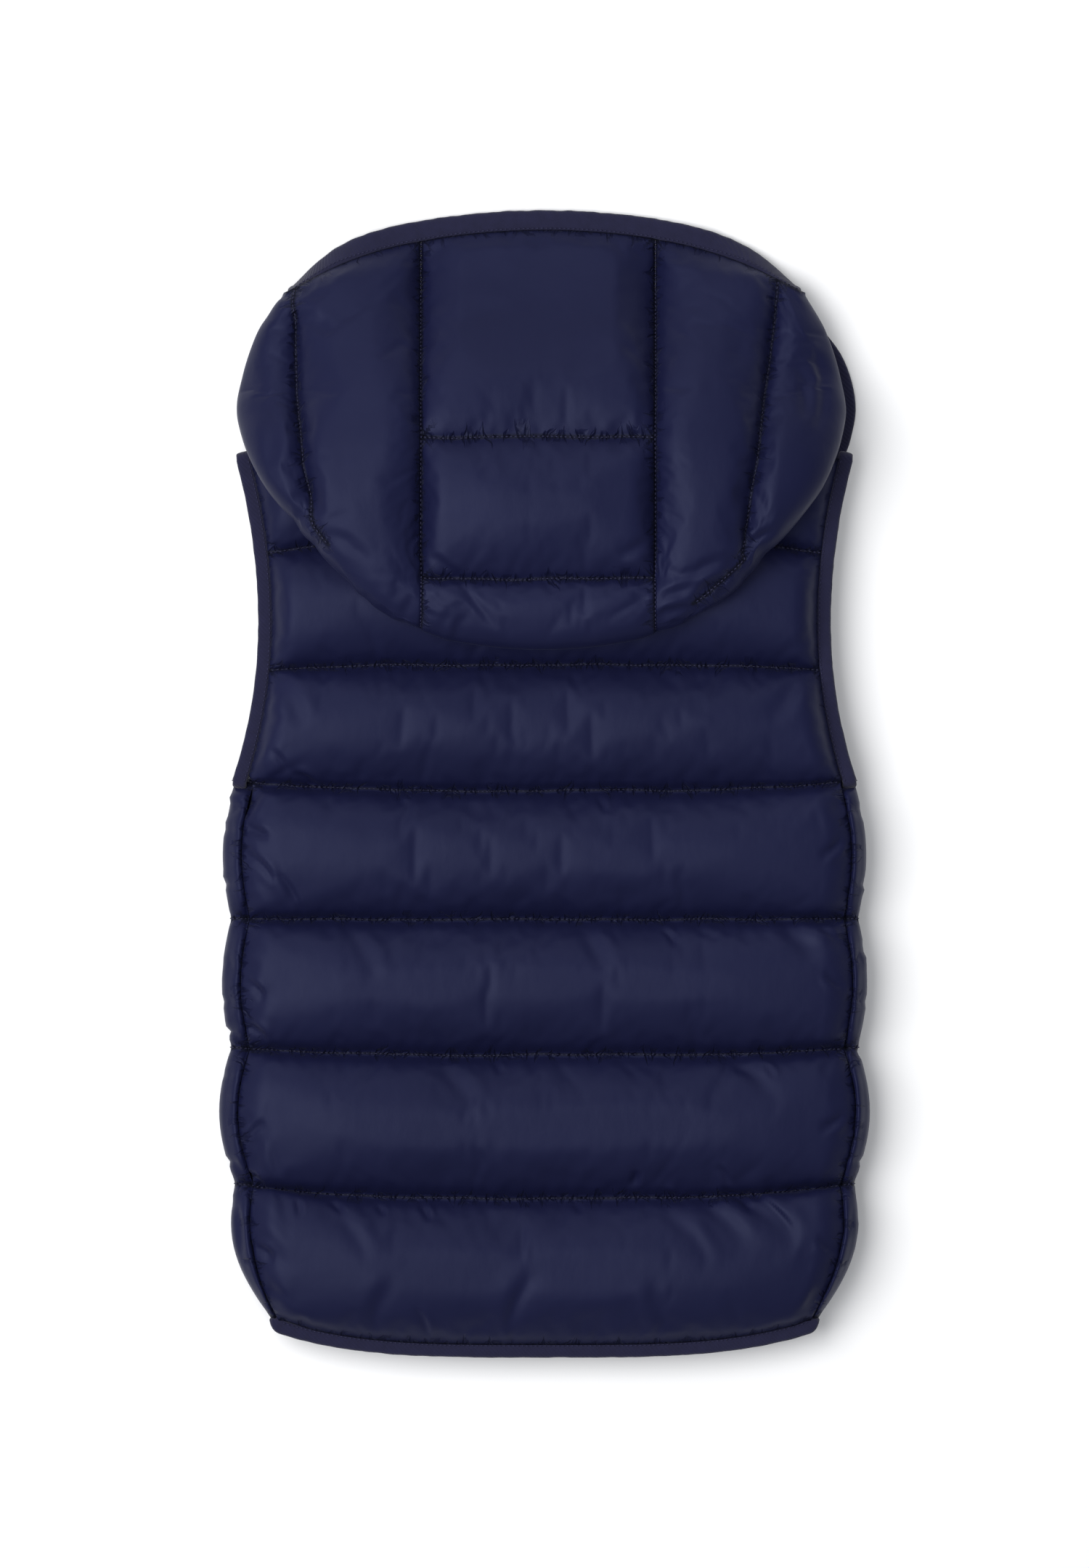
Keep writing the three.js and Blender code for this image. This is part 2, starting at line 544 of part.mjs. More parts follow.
// Side panel of the hood: ribs fan out from the seam to the fold, from the face edge round to the bottom.
function hoodSide(side) {
  const sign = side === "left" ? -1 : 1;
  const seamX = Math.abs(HOOD_SEAM[side]) + SEAM_GAP / 2;
  const outline = new THREE.SplineCurve(foldOutline.map(({ x, y }) => new THREE.Vector2(x, y)));
  const rowCount = 17;
  const edgeLength = 190;
  const inner = [0, 0.06, 0.2, 0.45, 0.7, 0.88]; // columns up to the quilting line, as shares of the way
  const outer = [0, 0.18, 0.45, 0.75, 0.93]; // and on from it to the fold
  const columns = inner.length + outer.length + UNDER.length;
  const ribs = [];
  for (let j = 0; j <= rowCount; j++) {
    const v = j / rowCount;
    const edge = outline.getPoint(v);
    const ahead = outline.getPoint(Math.min(1, v + 0.01));
    const behind = outline.getPoint(Math.max(0, v - 0.01));
    const along = ahead.sub(behind).normalize();
    const inward = new THREE.Vector2(along.y, -along.x);
    const tuck = side === "right" ? 4 * Math.sin(Math.PI * clamp(v / 0.6)) : 0;
    const end = edge.addScaledVector(inward, FOLD.pad + 1.4 + tuck);
    end.x = Math.max(end.x, seamX + 0.4 * (1 - v));
    const start = new THREE.Vector2(seamX, mix(hoodPanelTop(seamX), FOLD_START_Y, v ** 0.8));
    if (j === rowCount) end.set(seamX, hoodBottom(seamX) + FOLD.pad);
    ribs.push({ v, start, end, bow: 5.5 * (1 - v) ** 2 - 3 * v * (1 - v) });
  }
  const shareAt = (i, v) => {
    const line = fromTable(hoodSideLine[side], "along", "share", v);
    if (i < inner.length) return inner[i] * line;
    if (i < inner.length + outer.length) return mix(line, 1, outer[i - inner.length]);
    return i === inner.length + outer.length ? 1 : UNDER[i - inner.length - outer.length - 1];
  };
  const inside = (i, j) => {
    const { v, start, end, bow } = ribs[j];
    const share = shareAt(i, v);
    const point = foldPoint(start, end, share, ribLift(bow, share));
    return new THREE.Vector3(sign * point.x, point.y, point.z);
  };
  const thickness = (i, j) => {
    const { v, start, end } = ribs[j];
    const share = shareAt(i, v);
    const length = start.distanceTo(end);
    const line = fromTable(hoodSideLine[side], "along", "share", v);
    const lineDepth = line > 0.9 && v > 0.3 ? 0.15 : 0.85; // it fades out where it reaches the fold
    const nearLine = 1 - lineDepth * (1 - rise(Math.abs(share - line) * length, HOOD_LINE_RISE));
    const fromSeam = rise(share * length, HOOD_SEAM_RISE);
    const nearSeam = mix(fromSeam, mix(FOLD_AT_SEAM, 1, fromSeam), v ** 3);
    const nearFace = mix(rise(v * edgeLength, HOOD_FACE_RISE), 1, clamp(share - 1));
    const pad = share > 1 ? foldThickness(share) - HOOD_EDGE : mix(HOOD_LOFT, FOLD.pad - HOOD_EDGE, v);
    const stitched = mix(HOOD_STITCHED, HOOD_EDGE, clamp(share - 1));
    return stitched + pad * nearSeam * nearLine * nearFace;
  };
  const faceEdge = ribs[0].end.clone().sub(ribs[0].start).normalize();
  const edgeOut = new THREE.Vector3(-sign * faceEdge.y, faceEdge.x, 0);
  return {
    geometry: paddedWall(columns, rowCount, inside, thickness, -sign, edgeOut),
    faceEdge: ribs[0],
    shareAt,
    lastColumn: columns,
  };
}

const hoodSides = { left: hoodSide("left"), right: hoodSide("right") };

// Binding of the face edge: along the hood's top, over the side folds and on underneath to the chin.
function hoodBinding() {
  const reach = SEAM_GAP + HOOD_BINDING.wide / 2;
  const half = (side) => {
    const sign = side === "left" ? -1 : 1;
    const { start, end, bow } = hoodSides[side].faceEdge;
    const stations = [];
    const edgeAt = (share) => foldPoint(start, end, share, ribLift(bow, share));
    for (let i = 1; i <= hoodSides[side].lastColumn; i++) {
      const share = hoodSides[side].shareAt(i, 0);
      const before = edgeAt(Math.min(share, 1) - 0.03);
      const along = edgeAt(Math.min(share, 0.97) + 0.03).sub(before);
      const out = new THREE.Vector3(-sign * along.y, along.x, 0).normalize();
      const at = edgeAt(share);
      const padSide = mix(1, -1, ease(1, 1.9, share)) * (HOOD_STITCHED / 2 + 0.4);
      const middle = new THREE.Vector3(sign * at.x, at.y, at.z + padSide);
      stations.push({ at: middle.addScaledVector(out, reach), out });
    }
    for (const { x, y, z, turn } of bindingUnder[side]) {
      const out = new THREE.Vector3(sign * Math.cos(turn), Math.sin(turn), 0);
      stations.push({ at: new THREE.Vector3(sign * x, y, z), out });
    }
    return stations;
  };
  const middle = [];
  const steps = 8;
  for (let k = 0; k <= steps; k++) {
    const x = mix(HOOD_SEAM.left, HOOD_SEAM.right, k / steps);
    const y = hoodPanelTop(x);
    const out = new THREE.Vector3(2 * HOOD_TOP.bend * x, 1, 0).normalize();
    const at = new THREE.Vector3(x, y, hoodInside(x, y) + HOOD_STITCHED / 2);
    at.z = Math.max(at.z, HOOD_BINDING.thick / 2);
    middle.push({ at: at.addScaledVector(out, reach), out });
  }
  return strip([...half("left").reverse(), ...middle, ...half("right")], HOOD_BINDING, false);
}
// Where the binding runs on past the folds, flat on the table. turn is its width direction, in radians.
const bindingUnder = {
  left: [
    { x: 140.5, y: 270, z: 3.2, turn: 0.8 },
    { x: 146, y: 260, z: 2.5, turn: 0.5 },
    { x: 153, y: 248, z: 2.5, turn: 0.25 },
    { x: 157, y: 232, z: 2.5, turn: 0.1 },
    { x: 158, y: 214, z: 2.5, turn: -0.1 },
    { x: 155, y: 200, z: 2.5, turn: -0.3 },
  ],
  right: [
    { x: 140.5, y: 270, z: 3.2, turn: 0.8 },
    { x: 146, y: 260, z: 2.5, turn: 0.5 },
    { x: 151.5, y: 249, z: 2.5, turn: 0.3 },
    { x: 157, y: 235, z: 2.5, turn: 0.3 },
    { x: 163, y: 220, z: 2.5, turn: 0.2 },
    { x: 165, y: 206, z: 2.5, turn: -0.1 },
    { x: 162.5, y: 193, z: 2.5, turn: -0.4 },
  ],
};

// Hidden layers of the hood in one rounded solid: nape on the back of the vest, chin part in the front
// neck and out over the table. Its section is a hook round the neck edge, given at each place across.
function hoodFoldedLayers() {
  const clear = 0.5;
  const sideDrop = (x) => 9 * clamp((Math.abs(x) - 84) / 36) ** 2; // clear of where the fold rounds down
  const hook = (x) => {
    const low = fromTable(innerOutline, "x", "low", Math.abs(x));
    const high = fromTable(innerOutline, "x", "high", Math.abs(x));
    const neck = topEdge(x, BACK_NECK_Y) + 1.5;
    const front = Math.min(neck - 0.8, topEdge(x, FRONT_NECK_Y) + 4);
    const foot = Math.min(front + CHIN_SEAM.reach, mix(front, neck, 0.8));
    const chinTop = FRONT_INSIDE - 0.4;
    const top = (y) => hoodInside(x, y) - clear - sideDrop(x);
    const between = (from, to) => (t) => [mix(from, to, t), top(mix(from, to, t))];
    return {
      outer: [
        [low, mix(NAPE_FOOT, top(low), 0.25)],
        [low + LAYER_GROOVE, mix(NAPE_FOOT, top(low), 0.5)],
        [low, mix(NAPE_FOOT, top(low), 0.75)],
        [low + 4, top(low + 4) - 0.3],
        ...[0.35, 0.7, 1].map(between(low, neck)),
        ...[0.3, 0.55, 0.8].map(between(neck, high)),
        [high, Math.max(3.6, top(high) - 0.6)],
        [high - LAYER_GROOVE, 2.2],
        [high - 0.8, 1.1],
        [high - 2.5, 0],
        [neck + 1, 0],
        [foot, 0],
        [mix(front, foot, 0.9), CHIN_SEAM.under],
        [front, CHIN_SEAM.under],
      ],
      inner: [
        ...[1, 3, 5, 7].map((step) => [low + step, NAPE_FOOT]),
        [mix(low, neck, 0.35), NAPE_FOOT],
        [mix(low, neck, 0.7), NAPE_FOOT],
        [neck - 1.2, NAPE_FOOT],
        [neck - 0.4, NAPE_FOOT - 1],
        [neck, NAPE_FOOT - 4],
        ...[37, 34, 31, 28, 25, 22.5].map((z) => [neck, z]),
        [Math.max(neck - 0.3, mix(front, neck, 0.95)), chinTop],
        [mix(front, foot, 0.9), chinTop],
        [front, chinTop],
      ],
    };
  };
  const rows = hook(0).outer.length - 1;
  const point = (i, j, face) => {
    const x = layerColumns[i];
    const [y, z] = hook(x)[face][j];
    return new THREE.Vector3(x, y, z);
  };
  const columns = layerColumns.length - 1;
  return wall(columns, rows, (i, j) => point(i, j, "inner"), (i, j) => point(i, j, "outer"));
}
const NAPE_FOOT = 42.8; // the nape's layers rest on the back
const CHIN_SEAM = { under: 15.6, reach: 17 }; // thin where the chin part is sewn to the front neck
const LAYER_GROOVE = 3;
const layerColumns = [-120, -102, -NECK_HALF, -66, -44, -22, 0, 22, 44, 66, NECK_HALF, 102, 120];
// Reach of the hidden layers, inside the hood's padding: low is towards the hem, high towards the top.
const innerOutline = [
  { x: 0, low: 97, high: 276 },
  { x: 60, low: 104, high: 274 },
  { x: 95, low: 130, high: 260 },
  { x: 120, low: 160, high: 244 },
];

// Zip: two tapes, the closed chain of teeth between them, a slider and its pull tab

// Puts the middle of a box at a place and returns it as a solid.
function block(wide, long, thick, x, y, z) {
  const box = new THREE.BoxGeometry(wide, long, thick).translate(x, y, z);
  return solidFrom(bend(box, (p) => p));
}
function solidFrom(geometry) {
  return new wasm.Manifold(
    new wasm.Mesh({
      numProp: 3,
      vertProperties: new Float32Array(geometry.getAttribute("position").array),
      triVerts: new Uint32Array(geometry.getIndex().array),
    }),
  );
}
function geometryFrom(solid) {
  const { vertProperties, triVerts } = solid.getMesh();
  return new THREE.BufferGeometry()
    .setAttribute("position", new THREE.BufferAttribute(vertProperties, 3))
    .setIndex(new THREE.BufferAttribute(triVerts, 1));
}

const ZIP_BOTTOM = -306;
const ZIP_TOP = FRONT_NECK_Y - 1;
function zipTape(side) {
  const sign = side === "left" ? -1 : 1;
  const inner = TEETH.half + SEAM_GAP;
  const wide = ZIP_EDGE - SEAM_GAP - inner;
  const long = ZIP_TOP - ZIP_BOTTOM;
  const tape = new THREE.BoxGeometry(wide, long, TAPE_THICK, 1, 12, 1);
  return tape.translate(sign * (inner + wide / 2), (ZIP_TOP + ZIP_BOTTOM) / 2, ZIP_Z);
}
function zipTeeth() {
  const long = TEETH.top - ZIP_BOTTOM;
  const chain = new THREE.BoxGeometry(2 * TEETH.half, long, TEETH.thick, 1, 12, 1);
  return chain.translate(0, (TEETH.top + ZIP_BOTTOM) / 2, ZIP_Z);
}

const SLIDER = { wide: 9.6, long: 12, plate: 1, low: 119.6 };
const BAIL = { low: 120.9, high: 128.3, post: 1.6, wide: 1.8, gap: 2.8, bar: 1.4 };
const outerPlateZ = ZIP_Z - TEETH.thick / 2 - 0.4 - SLIDER.plate / 2;
const innerPlateZ = ZIP_Z + TEETH.thick / 2 + 0.3 + SLIDER.plate / 2;
function zipSlider() {
  const y = SLIDER.low + SLIDER.long / 2;
  const deep = innerPlateZ - outerPlateZ;
  const postZ = outerPlateZ - BAIL.gap / 2 - 0.2;
  const postDeep = BAIL.gap + SLIDER.plate;
  const barZ = outerPlateZ - SLIDER.plate / 2 - BAIL.gap - BAIL.bar / 2;
  const wedgeLong = SLIDER.low + SLIDER.long - TEETH.top - SEAM_GAP;
  const wedgeY = TEETH.top + SEAM_GAP + wedgeLong / 2;
  const parts = [
    block(SLIDER.wide, SLIDER.long, SLIDER.plate, 0, y, outerPlateZ),
    block(SLIDER.wide, SLIDER.long, SLIDER.plate, 0, y, innerPlateZ),
    block(2 * TEETH.half, wedgeLong, deep, 0, wedgeY, (innerPlateZ + outerPlateZ) / 2),
    block(BAIL.wide, BAIL.post, postDeep, 0, BAIL.low + BAIL.post / 2, postZ),
    block(BAIL.wide, BAIL.post, postDeep, 0, BAIL.high - BAIL.post / 2, postZ),
    block(BAIL.wide, BAIL.high - BAIL.low, BAIL.bar, 0, (BAIL.low + BAIL.high) / 2, barZ),
  ];
  return geometryFrom(parts.reduce((whole, part) => whole.add(part)));
}

const PULL = { wide: 6.4, long: 24, thick: 1.5, arm: 1.6, ringLong: 9, hang: 22 };
const PULL_AXIS = { y: 124.6, z: outerPlateZ - SLIDER.plate / 2 - BAIL.gap / 2 };
// The pull tab lies along -Y from its crossbar, which passes through the bail.
function zipPull() {
  const tabLong = PULL.long - PULL.ringLong;
  const armX = (PULL.wide - PULL.arm) / 2;
  const parts = [
    block(PULL.wide, PULL.thick, PULL.thick, 0, 0, 0),
    block(PULL.arm, PULL.ringLong, PULL.thick, armX, -PULL.ringLong / 2, 0),
    block(PULL.arm, PULL.ringLong, PULL.thick, -armX, -PULL.ringLong / 2, 0),
    block(PULL.wide, tabLong, PULL.thick, 0, -PULL.ringLong - tabLong / 2 + 0.2, 0),
  ];
  return geometryFrom(parts.reduce((whole, part) => whole.add(part)));
}

// Materials and the finished group

const nylon = new THREE.MeshStandardMaterial({ color: 0x262a4e, roughness: 0.5, metalness: 0 });
const elastic = new THREE.MeshStandardMaterial({ color: 0x22254a, roughness: 0.85, metalness: 0 });
const tape = new THREE.MeshStandardMaterial({ color: 0x20233f, roughness: 0.9, metalness: 0 });
const moulded = new THREE.MeshStandardMaterial({ color: 0x1d2038, roughness: 0.45, metalness: 0 });

const vest = new THREE.Group();
function add(name, geometry, material) {
  const mesh = new THREE.Mesh(geometry, material.clone());
  mesh.name = name;
  vest.add(mesh);
  return mesh;
}

add("back_panel", backPanel(), nylon);
for (const side of ["left", "right"]) {
  add("front_panel_" + side, frontPanel(side), nylon);
  add("armhole_binding_" + side, armholeBinding(side), elastic);
  add("hood_side_" + side, hoodSides[side].geometry, nylon);
  add("zip_tape_" + side, zipTape(side), tape);
}
add("hem_binding", hemBinding(), elastic);
add("hood_middle", hoodMiddle(), nylon);
add("hood_folded_layers", hoodFoldedLayers(), nylon);
add("hood_binding", hoodBinding(), elastic);
add("zip_teeth", zipTeeth(), moulded);
add("zip_slider", zipSlider(), moulded);
const pull = add("zip_pull", zipPull(), moulded);
pull.position.set(0, PULL_AXIS.y, PULL_AXIS.z);
pull.rotation.x = THREE.MathUtils.degToRad(PULL.hang);

export default vest;
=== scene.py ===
# A child's hooded quilted vest, closed and laid face down, with its hood folded down onto the back.
# Sizes are millimetres, as in the CAD source, unless a line says metres. Meshes are in metres.
import math
from collections import namedtuple

import bmesh
import bpy
import numpy as np
from mathutils import Matrix, Vector, kdtree, noise


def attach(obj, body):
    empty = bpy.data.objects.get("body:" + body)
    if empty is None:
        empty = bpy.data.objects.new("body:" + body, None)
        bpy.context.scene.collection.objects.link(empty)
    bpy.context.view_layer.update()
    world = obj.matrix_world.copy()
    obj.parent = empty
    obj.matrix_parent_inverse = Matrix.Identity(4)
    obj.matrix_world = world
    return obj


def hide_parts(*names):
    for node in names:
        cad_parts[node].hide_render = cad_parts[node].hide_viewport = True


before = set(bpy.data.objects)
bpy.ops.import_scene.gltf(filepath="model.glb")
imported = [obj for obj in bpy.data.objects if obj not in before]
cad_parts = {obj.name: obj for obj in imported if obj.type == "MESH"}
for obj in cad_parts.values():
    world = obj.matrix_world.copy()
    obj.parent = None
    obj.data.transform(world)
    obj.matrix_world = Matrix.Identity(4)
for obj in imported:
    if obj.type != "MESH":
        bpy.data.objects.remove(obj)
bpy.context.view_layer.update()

METRE = 0.001  # metres in a millimetre

# Heights of the two padded layers of the body
SEAM_GAP = 0.3  # between pieces at their seams
BACK_INSIDE = 21.15  # the back's plain inner face
FRONT_INSIDE = 20.6  # and that of the fronts, below it
STITCHED = 4.0  # thickness at a stitched line
BACK_LOFT = 17.0  # what the padding adds to it
FRONT_LOFT = FRONT_INSIDE - STITCHED
EDGE_RISE = 15.0  # how far in from a bound edge the padding reaches its height
SIDE_RISE = 15.0  # the same at the side seams
SIDE_LIFT = 8.5  # how far padding lifts a side seam between the quilting lines

# Quilting lines from the hem up, as in the CAD source: y at the side, the middle of the back and the
# zip, half the width, and the bulge and loft of the roll above
QuiltLine = namedtuple("QuiltLine", "side centre zip half bulge loft")
QUILT_LINES = [
    QuiltLine(side=-294, centre=-309, zip=-307, half=151, bulge=10, loft=1),
    QuiltLine(side=-220, centre=-228, zip=-226, half=170.6, bulge=7.6, loft=1),
    QuiltLine(side=-145, centre=-149, zip=-148, half=172.8, bulge=5, loft=1),
    QuiltLine(side=-74, centre=-74.6, zip=-75, half=172.8, bulge=5.6, loft=1),
    QuiltLine(side=2, centre=-3.5, zip=-4, half=170.6, bulge=0, loft=1),
    QuiltLine(side=62, centre=65.6, zip=60, half=159, bulge=0, loft=1),
    QuiltLine(side=126, centre=134, zip=108, half=160.7, bulge=0, loft=0.7),
]
ROLL_ROWS = 23  # rows of the cloth across one roll
ROW_CROWDING = 0.35  # how much closer rows lie beside the stitching lines
LINE_WANDER = 1.1  # how far a stitching line strays from straight

# Top edge and armholes
NECK_HALF = 84
NECK_POINT_Y = 203
BACK_NECK_Y = 184
FRONT_NECK_Y = 133
SHOULDER_TIP = (163, 179)
# Half the body's width at narrow_y, and what is added to it at the underarm and at the shoulder's tip
Armhole = namedtuple("Armhole", "narrow_y half base_y base_add tip_y tip_add")
ARMHOLE = Armhole(narrow_y=88, half=157.8, base_y=4, base_add=13.6, tip_y=177, tip_add=11.8)
FRONT_ARMHOLE_DEEPER = 7  # the fronts' armholes are cut this much further in than the back's
# How far inside the outline each side seam lies, how far at the hem, and over what height that changes
SIDE_INSET = {"left": 10.5, "right": 8, "hem": 4.5, "run_out": 40}
SIGN = {"left": -1, "right": 1}  # of x on each side

# Bindings of folded elastic
Binding = namedtuple("Binding", "wide thick")
EDGE_BINDING = Binding(wide=6.6, thick=4.2)
HOOD_BINDING = Binding(wide=10.4, thick=4.6)
BINDING_REACH = EDGE_BINDING.wide + SEAM_GAP + 0.45  # from its outer edge in to the padding
BINDING_FOLD = 2.4  # half the height from one layer's binding to the other's
BINDING_MIDDLE = (BACK_INSIDE + FRONT_INSIDE) / 2

# Zip
ZIP_EDGE = 7  # from the middle to the edge of each front
ZIP_Z = 18.1
ZIP_RISE = 18  # over which the fronts' padding rises beside it
ZIP_BOTTOM = -306
ZIP_TOP = FRONT_NECK_Y - 1
TEETH_HALF = 1.7
TEETH_TOP = 126
TEETH_THICK = 3.0
TAPE_THICK = 1.4

# Hood
HOOD_SEAM = {"left": -68, "right": 61}
HOOD_CROSS_SEAMS = [190, 113]
HOOD_TOP_Y = 316
HOOD_TOP_BEND = 4.4 / 58.6**2
HOOD_BOTTOM_Y = 73.6
HOOD_BOTTOM_BEND = 7.8 / 60**2
HOOD_LOFT = 11.0  # what the padding adds to the hood's wall
HOOD_STITCHED = 3.2  # the wall's thickness at a stitched line
HOOD_EDGE = 2.2  # and where it ends, tucked under
HOOD_SEAM_RISE = 16  # over which the padding rises from a seam
HOOD_FACE_RISE = 14  # from the face edge and the lower cross seam
HOOD_LINE_RISE = 13  # and from the quilting line down a side
Drape = namedtuple("Drape", "over_body on_table start end")
HOOD_DRAPE = Drape(over_body=56, on_table=0.7, start=178, end=298)
Sideways = namedtuple("Sideways", "start over power")
HOOD_SIDEWAYS = Sideways(start=60, over=105, power=1.4)
# The fold: its padding, the width over which the wall rounds down to it, how far in it tucks, the heights
# of its middle and of the wall above its foot, and the degrees and the depth of the tuck
Fold = namedtuple("Fold", "pad round under middle top turn down")
FOLD = Fold(pad=11, round=20, under=7, middle=8, top=13.7, turn=80, down=5.6)
FOLD_START_Y = 122  # where the lowest rib of a side leaves its seam
FOLD_AT_SEAM = 0.72  # share of the fold's padding that is left at a seam
FOLD_FEET = [(126, 42.8), (148, 41.5), (172, 39.5), (186, 31), (200, 16), (216, 5.6)]  # y, height
FOLD_OUTLINE = [
    (143, 273.5),
    (156.5, 250),
    (166, 224),
    (169.5, 200),
    (157, 168),
    (131, 134),
    (100, 103),
    (68, 83.6),
]
FOLD_OUTLINE_END = {"left": 0.965, "right": 1.0}  # where the strip's seam meets that outline
HOOD_SIDE_LINE = {  # y and distance from the middle of the quilting line down each side of the hood
    "left": [
        (124, 106),
        (130, 115),
        (149, 124.5),
        (174, 132),
        (213, 135),
        (240, 136),
        (256, 136),
        (274, 138.5),
    ],
    "right": [
        (99, 88),
        (113, 101.6),
        (141, 110.4),
        (177, 116.6),
        (213, 119.8),
        (246, 125.6),
        (277, 129.6),
    ],
}


def mix(a, b, t):
    return a + (b - a) * t


def clamp(t):
    return min(1.0, max(0.0, t))


def ease(start, end, at):
    t = clamp((at - start) / (end - start))
    return t * t * (3 - 2 * t)


def signed_power(value, power):
    return math.copysign(abs(value) ** power, value)


def from_table(rows, at):
    """A value read off a short table of (place, value) by easing between its rows."""
    if at <= rows[0][0]:
        return rows[0][1]
    for low, high in zip(rows, rows[1:]):
        if at <= high[0]:
            return mix(low[1], high[1], ease(low[0], high[0], at))
    return rows[-1][1]


def pillow(t):
    """Height share of a padded roll at t across it, from one stitching line to the next."""
    return (1 - abs(2 * t - 1) ** 2.4) ** 0.55


def rise(distance, over):
    """The same from one stitched edge only."""
    return (1 - (1 - clamp(distance / over)) ** 2.2) ** 0.6


def swell(distance, over):
    """A softer rise, for a seam that padding lifts."""
    return math.sin(math.pi / 2 * clamp(distance / over))


def unevenness(x, y, size, seed):
    """A smooth hand-made variation between about -1 and 1."""
    return noise.noise(Vector((x / size, y / size, seed * 3.7)))


# The body's outline and its rows of quilting

ROLLS = len(QUILT_LINES)
HEM_SIDE_Y = QUILT_LINES[0].side


def row_share(k):
    """Rows lie closer together beside the stitching lines."""
    s = k / ROLL_ROWS
    return s - ROW_CROWDING * math.sin(2 * math.pi * s) / (2 * math.pi)


BODY_ROWS = [(roll, row_share(k)) for roll in range(ROLLS) for k in range(ROLL_ROWS)] + [(ROLLS - 1, 1.0)]


def armhole_half(y):
    """Half the width of the body between its armholes."""
    up = (y - ARMHOLE.narrow_y) / (ARMHOLE.tip_y - ARMHOLE.narrow_y)
    down = (ARMHOLE.narrow_y - y) / (ARMHOLE.narrow_y - ARMHOLE.base_y)
    if y > ARMHOLE.narrow_y:
        return ARMHOLE.half + ARMHOLE.tip_add * up * up
    return ARMHOLE.half + ARMHOLE.base_add * down * down


def top_edge(x, neck_y):
    """The neck's curve and the slope of the shoulders."""
    off = abs(x)
    if off < NECK_HALF:
        return neck_y + (NECK_POINT_Y - neck_y) * (off / NECK_HALF) ** 2.2
    return mix(NECK_POINT_Y, SHOULDER_TIP[1], (off - NECK_HALF) / (SHOULDER_TIP[0] - NECK_HALF))


def side_y(place):
    """Height in plan of a row at the side."""
    roll, t = place
    above = QUILT_LINES[roll + 1].side if roll + 1 < ROLLS else SHOULDER_TIP[1]
    return mix(QUILT_LINES[roll].side, above, t)


def outline_half(place):
    """Half the width of the body at a row."""
    roll, t = place
    line = QUILT_LINES[roll]
    if line.bulge == 0:
        return armhole_half(max(ARMHOLE.base_y, side_y(place)))
    return mix(line.half, QUILT_LINES[roll + 1].half, t) + line.bulge * math.sin(math.pi * t)


def row_y(place, x, middle, neck_y):
    """Height in plan of a row at x: its lines dip or rise towards the middle of the back or the zip,
    and wander a little."""
    roll, t = place
    bow = 1 - clamp(abs(x) / QUILT_LINES[roll].half) ** 3.6

    def line_y(k):
        line = QUILT_LINES[k]
        stray = LINE_WANDER * unevenness(x, 40 * k, 26, k) * bow * (0 if k == 0 else 1)
        return mix(line.side, getattr(line, middle), bow) + stray

    above = line_y(roll + 1) if roll + 1 < ROLLS else top_edge(x, neck_y)
    return mix(line_y(roll), above, t)


# Where up the side the panels turn from their side seams to the armholes
UNDERARM = {"back": (2.1, 6.5), "front_in": (2.1, 6.5), "front_down": (-4, 1.9)}


def past_underarm(place, what):
    """0 beside a side seam and 1 beside an armhole."""
    return ease(*UNDERARM[what], side_y(place))


def armhole_line(y, deeper):
    """Distance from the middle to the binding's outer edge, deeper in at the middle of the armhole."""
    up = clamp((y - ARMHOLE.base_y) / (ARMHOLE.tip_y - ARMHOLE.base_y))
    return armhole_half(y) - deeper * math.sin(math.pi * up)


def armhole_edge(place, deeper):
    """Distance from the middle to the padding's edge inside the binding."""
    y = max(ARMHOLE.base_y, side_y(place))
    slope = armhole_line(y + 0.5, deeper) - armhole_line(y - 0.5, deeper)
    return armhole_line(y, deeper) - BINDING_REACH * math.hypot(1, slope)


def back_edge(place, side):
    """Distance from the middle to the side seam, and above it to the armhole's binding."""
    up = ease(HEM_SIDE_Y, HEM_SIDE_Y + SIDE_INSET["run_out"], side_y(place))
    seam = outline_half(place) - mix(SIDE_INSET["hem"], SIDE_INSET[side], up)
    return mix(seam, armhole_edge(place, 0), past_underarm(place, "back"))


# Cloth: grids of points, their puckers and creases, and the padding blown up under them


def grid_of(columns, rows, place):
    """Points of a cloth in rows, or one value for each: place(column, row), in millimetres."""
    return np.array([[place(i, j) for i in range(columns + 1)] for j in range(rows + 1)], float)


def normals_of(points):
    """The direction square to a grid at each of its points."""
    across = np.empty_like(points)
    across[:, 1:-1] = points[:, 2:] - points[:, :-2]
    across[:, 0] = points[:, 1] - points[:, 0]
    across[:, -1] = points[:, -1] - points[:, -2]
    along = np.empty_like(points)
    along[1:-1] = points[2:] - points[:-2]
    along[0] = points[1] - points[0]
    along[-1] = points[-1] - points[-2]
    square = np.cross(across, along)
    return square / np.maximum(np.linalg.norm(square, axis=2, keepdims=True), 1e-9)


Pucker = namedtuple("Pucker", "spacing reach depth")
LINE_PUCKERS = Pucker(6.5, 5.5, 1.3)
BACK_SIDE_PUCKERS = Pucker(7, 9, 2.3)
FRONT_SIDE_PUCKERS = Pucker(7.5, 10, 2.0)
ZIP_PUCKERS = Pucker(8, 8, 1.0)
TUCKS = Pucker(4.6, 4.2, 0.85)  # the finest folds, drawn in last
FRONT_TUCKS = TUCKS._replace(depth=0.5)
PUCKER_STEPS = (0.45, 1.75)  # least and most, as shares of the size, as in the next three
PUCKER_REACHES = (0.35, 1.0)
PUCKER_WIDTHS = (0.16, 0.3)
PUCKER_DEPTHS = (0.3, 1.0)
PUCKER_LEAN = 0.38
PUCKER_SPREAD = 0.9  # how much wider one is at the end of its reach
LONG_PUCKERS = (0.1, 2.2)  # share of them that run on, and how many times as far
HELD_DOWN = 1.6  # distance in which the thread holds the cloth down


def trough(off, ridge, ridge_at):
    """Depth across a fold: a soft trough with a low ridge along one flank."""
    return np.exp(-(off**2)) - ridge * np.exp(-((off - ridge_at) ** 2))


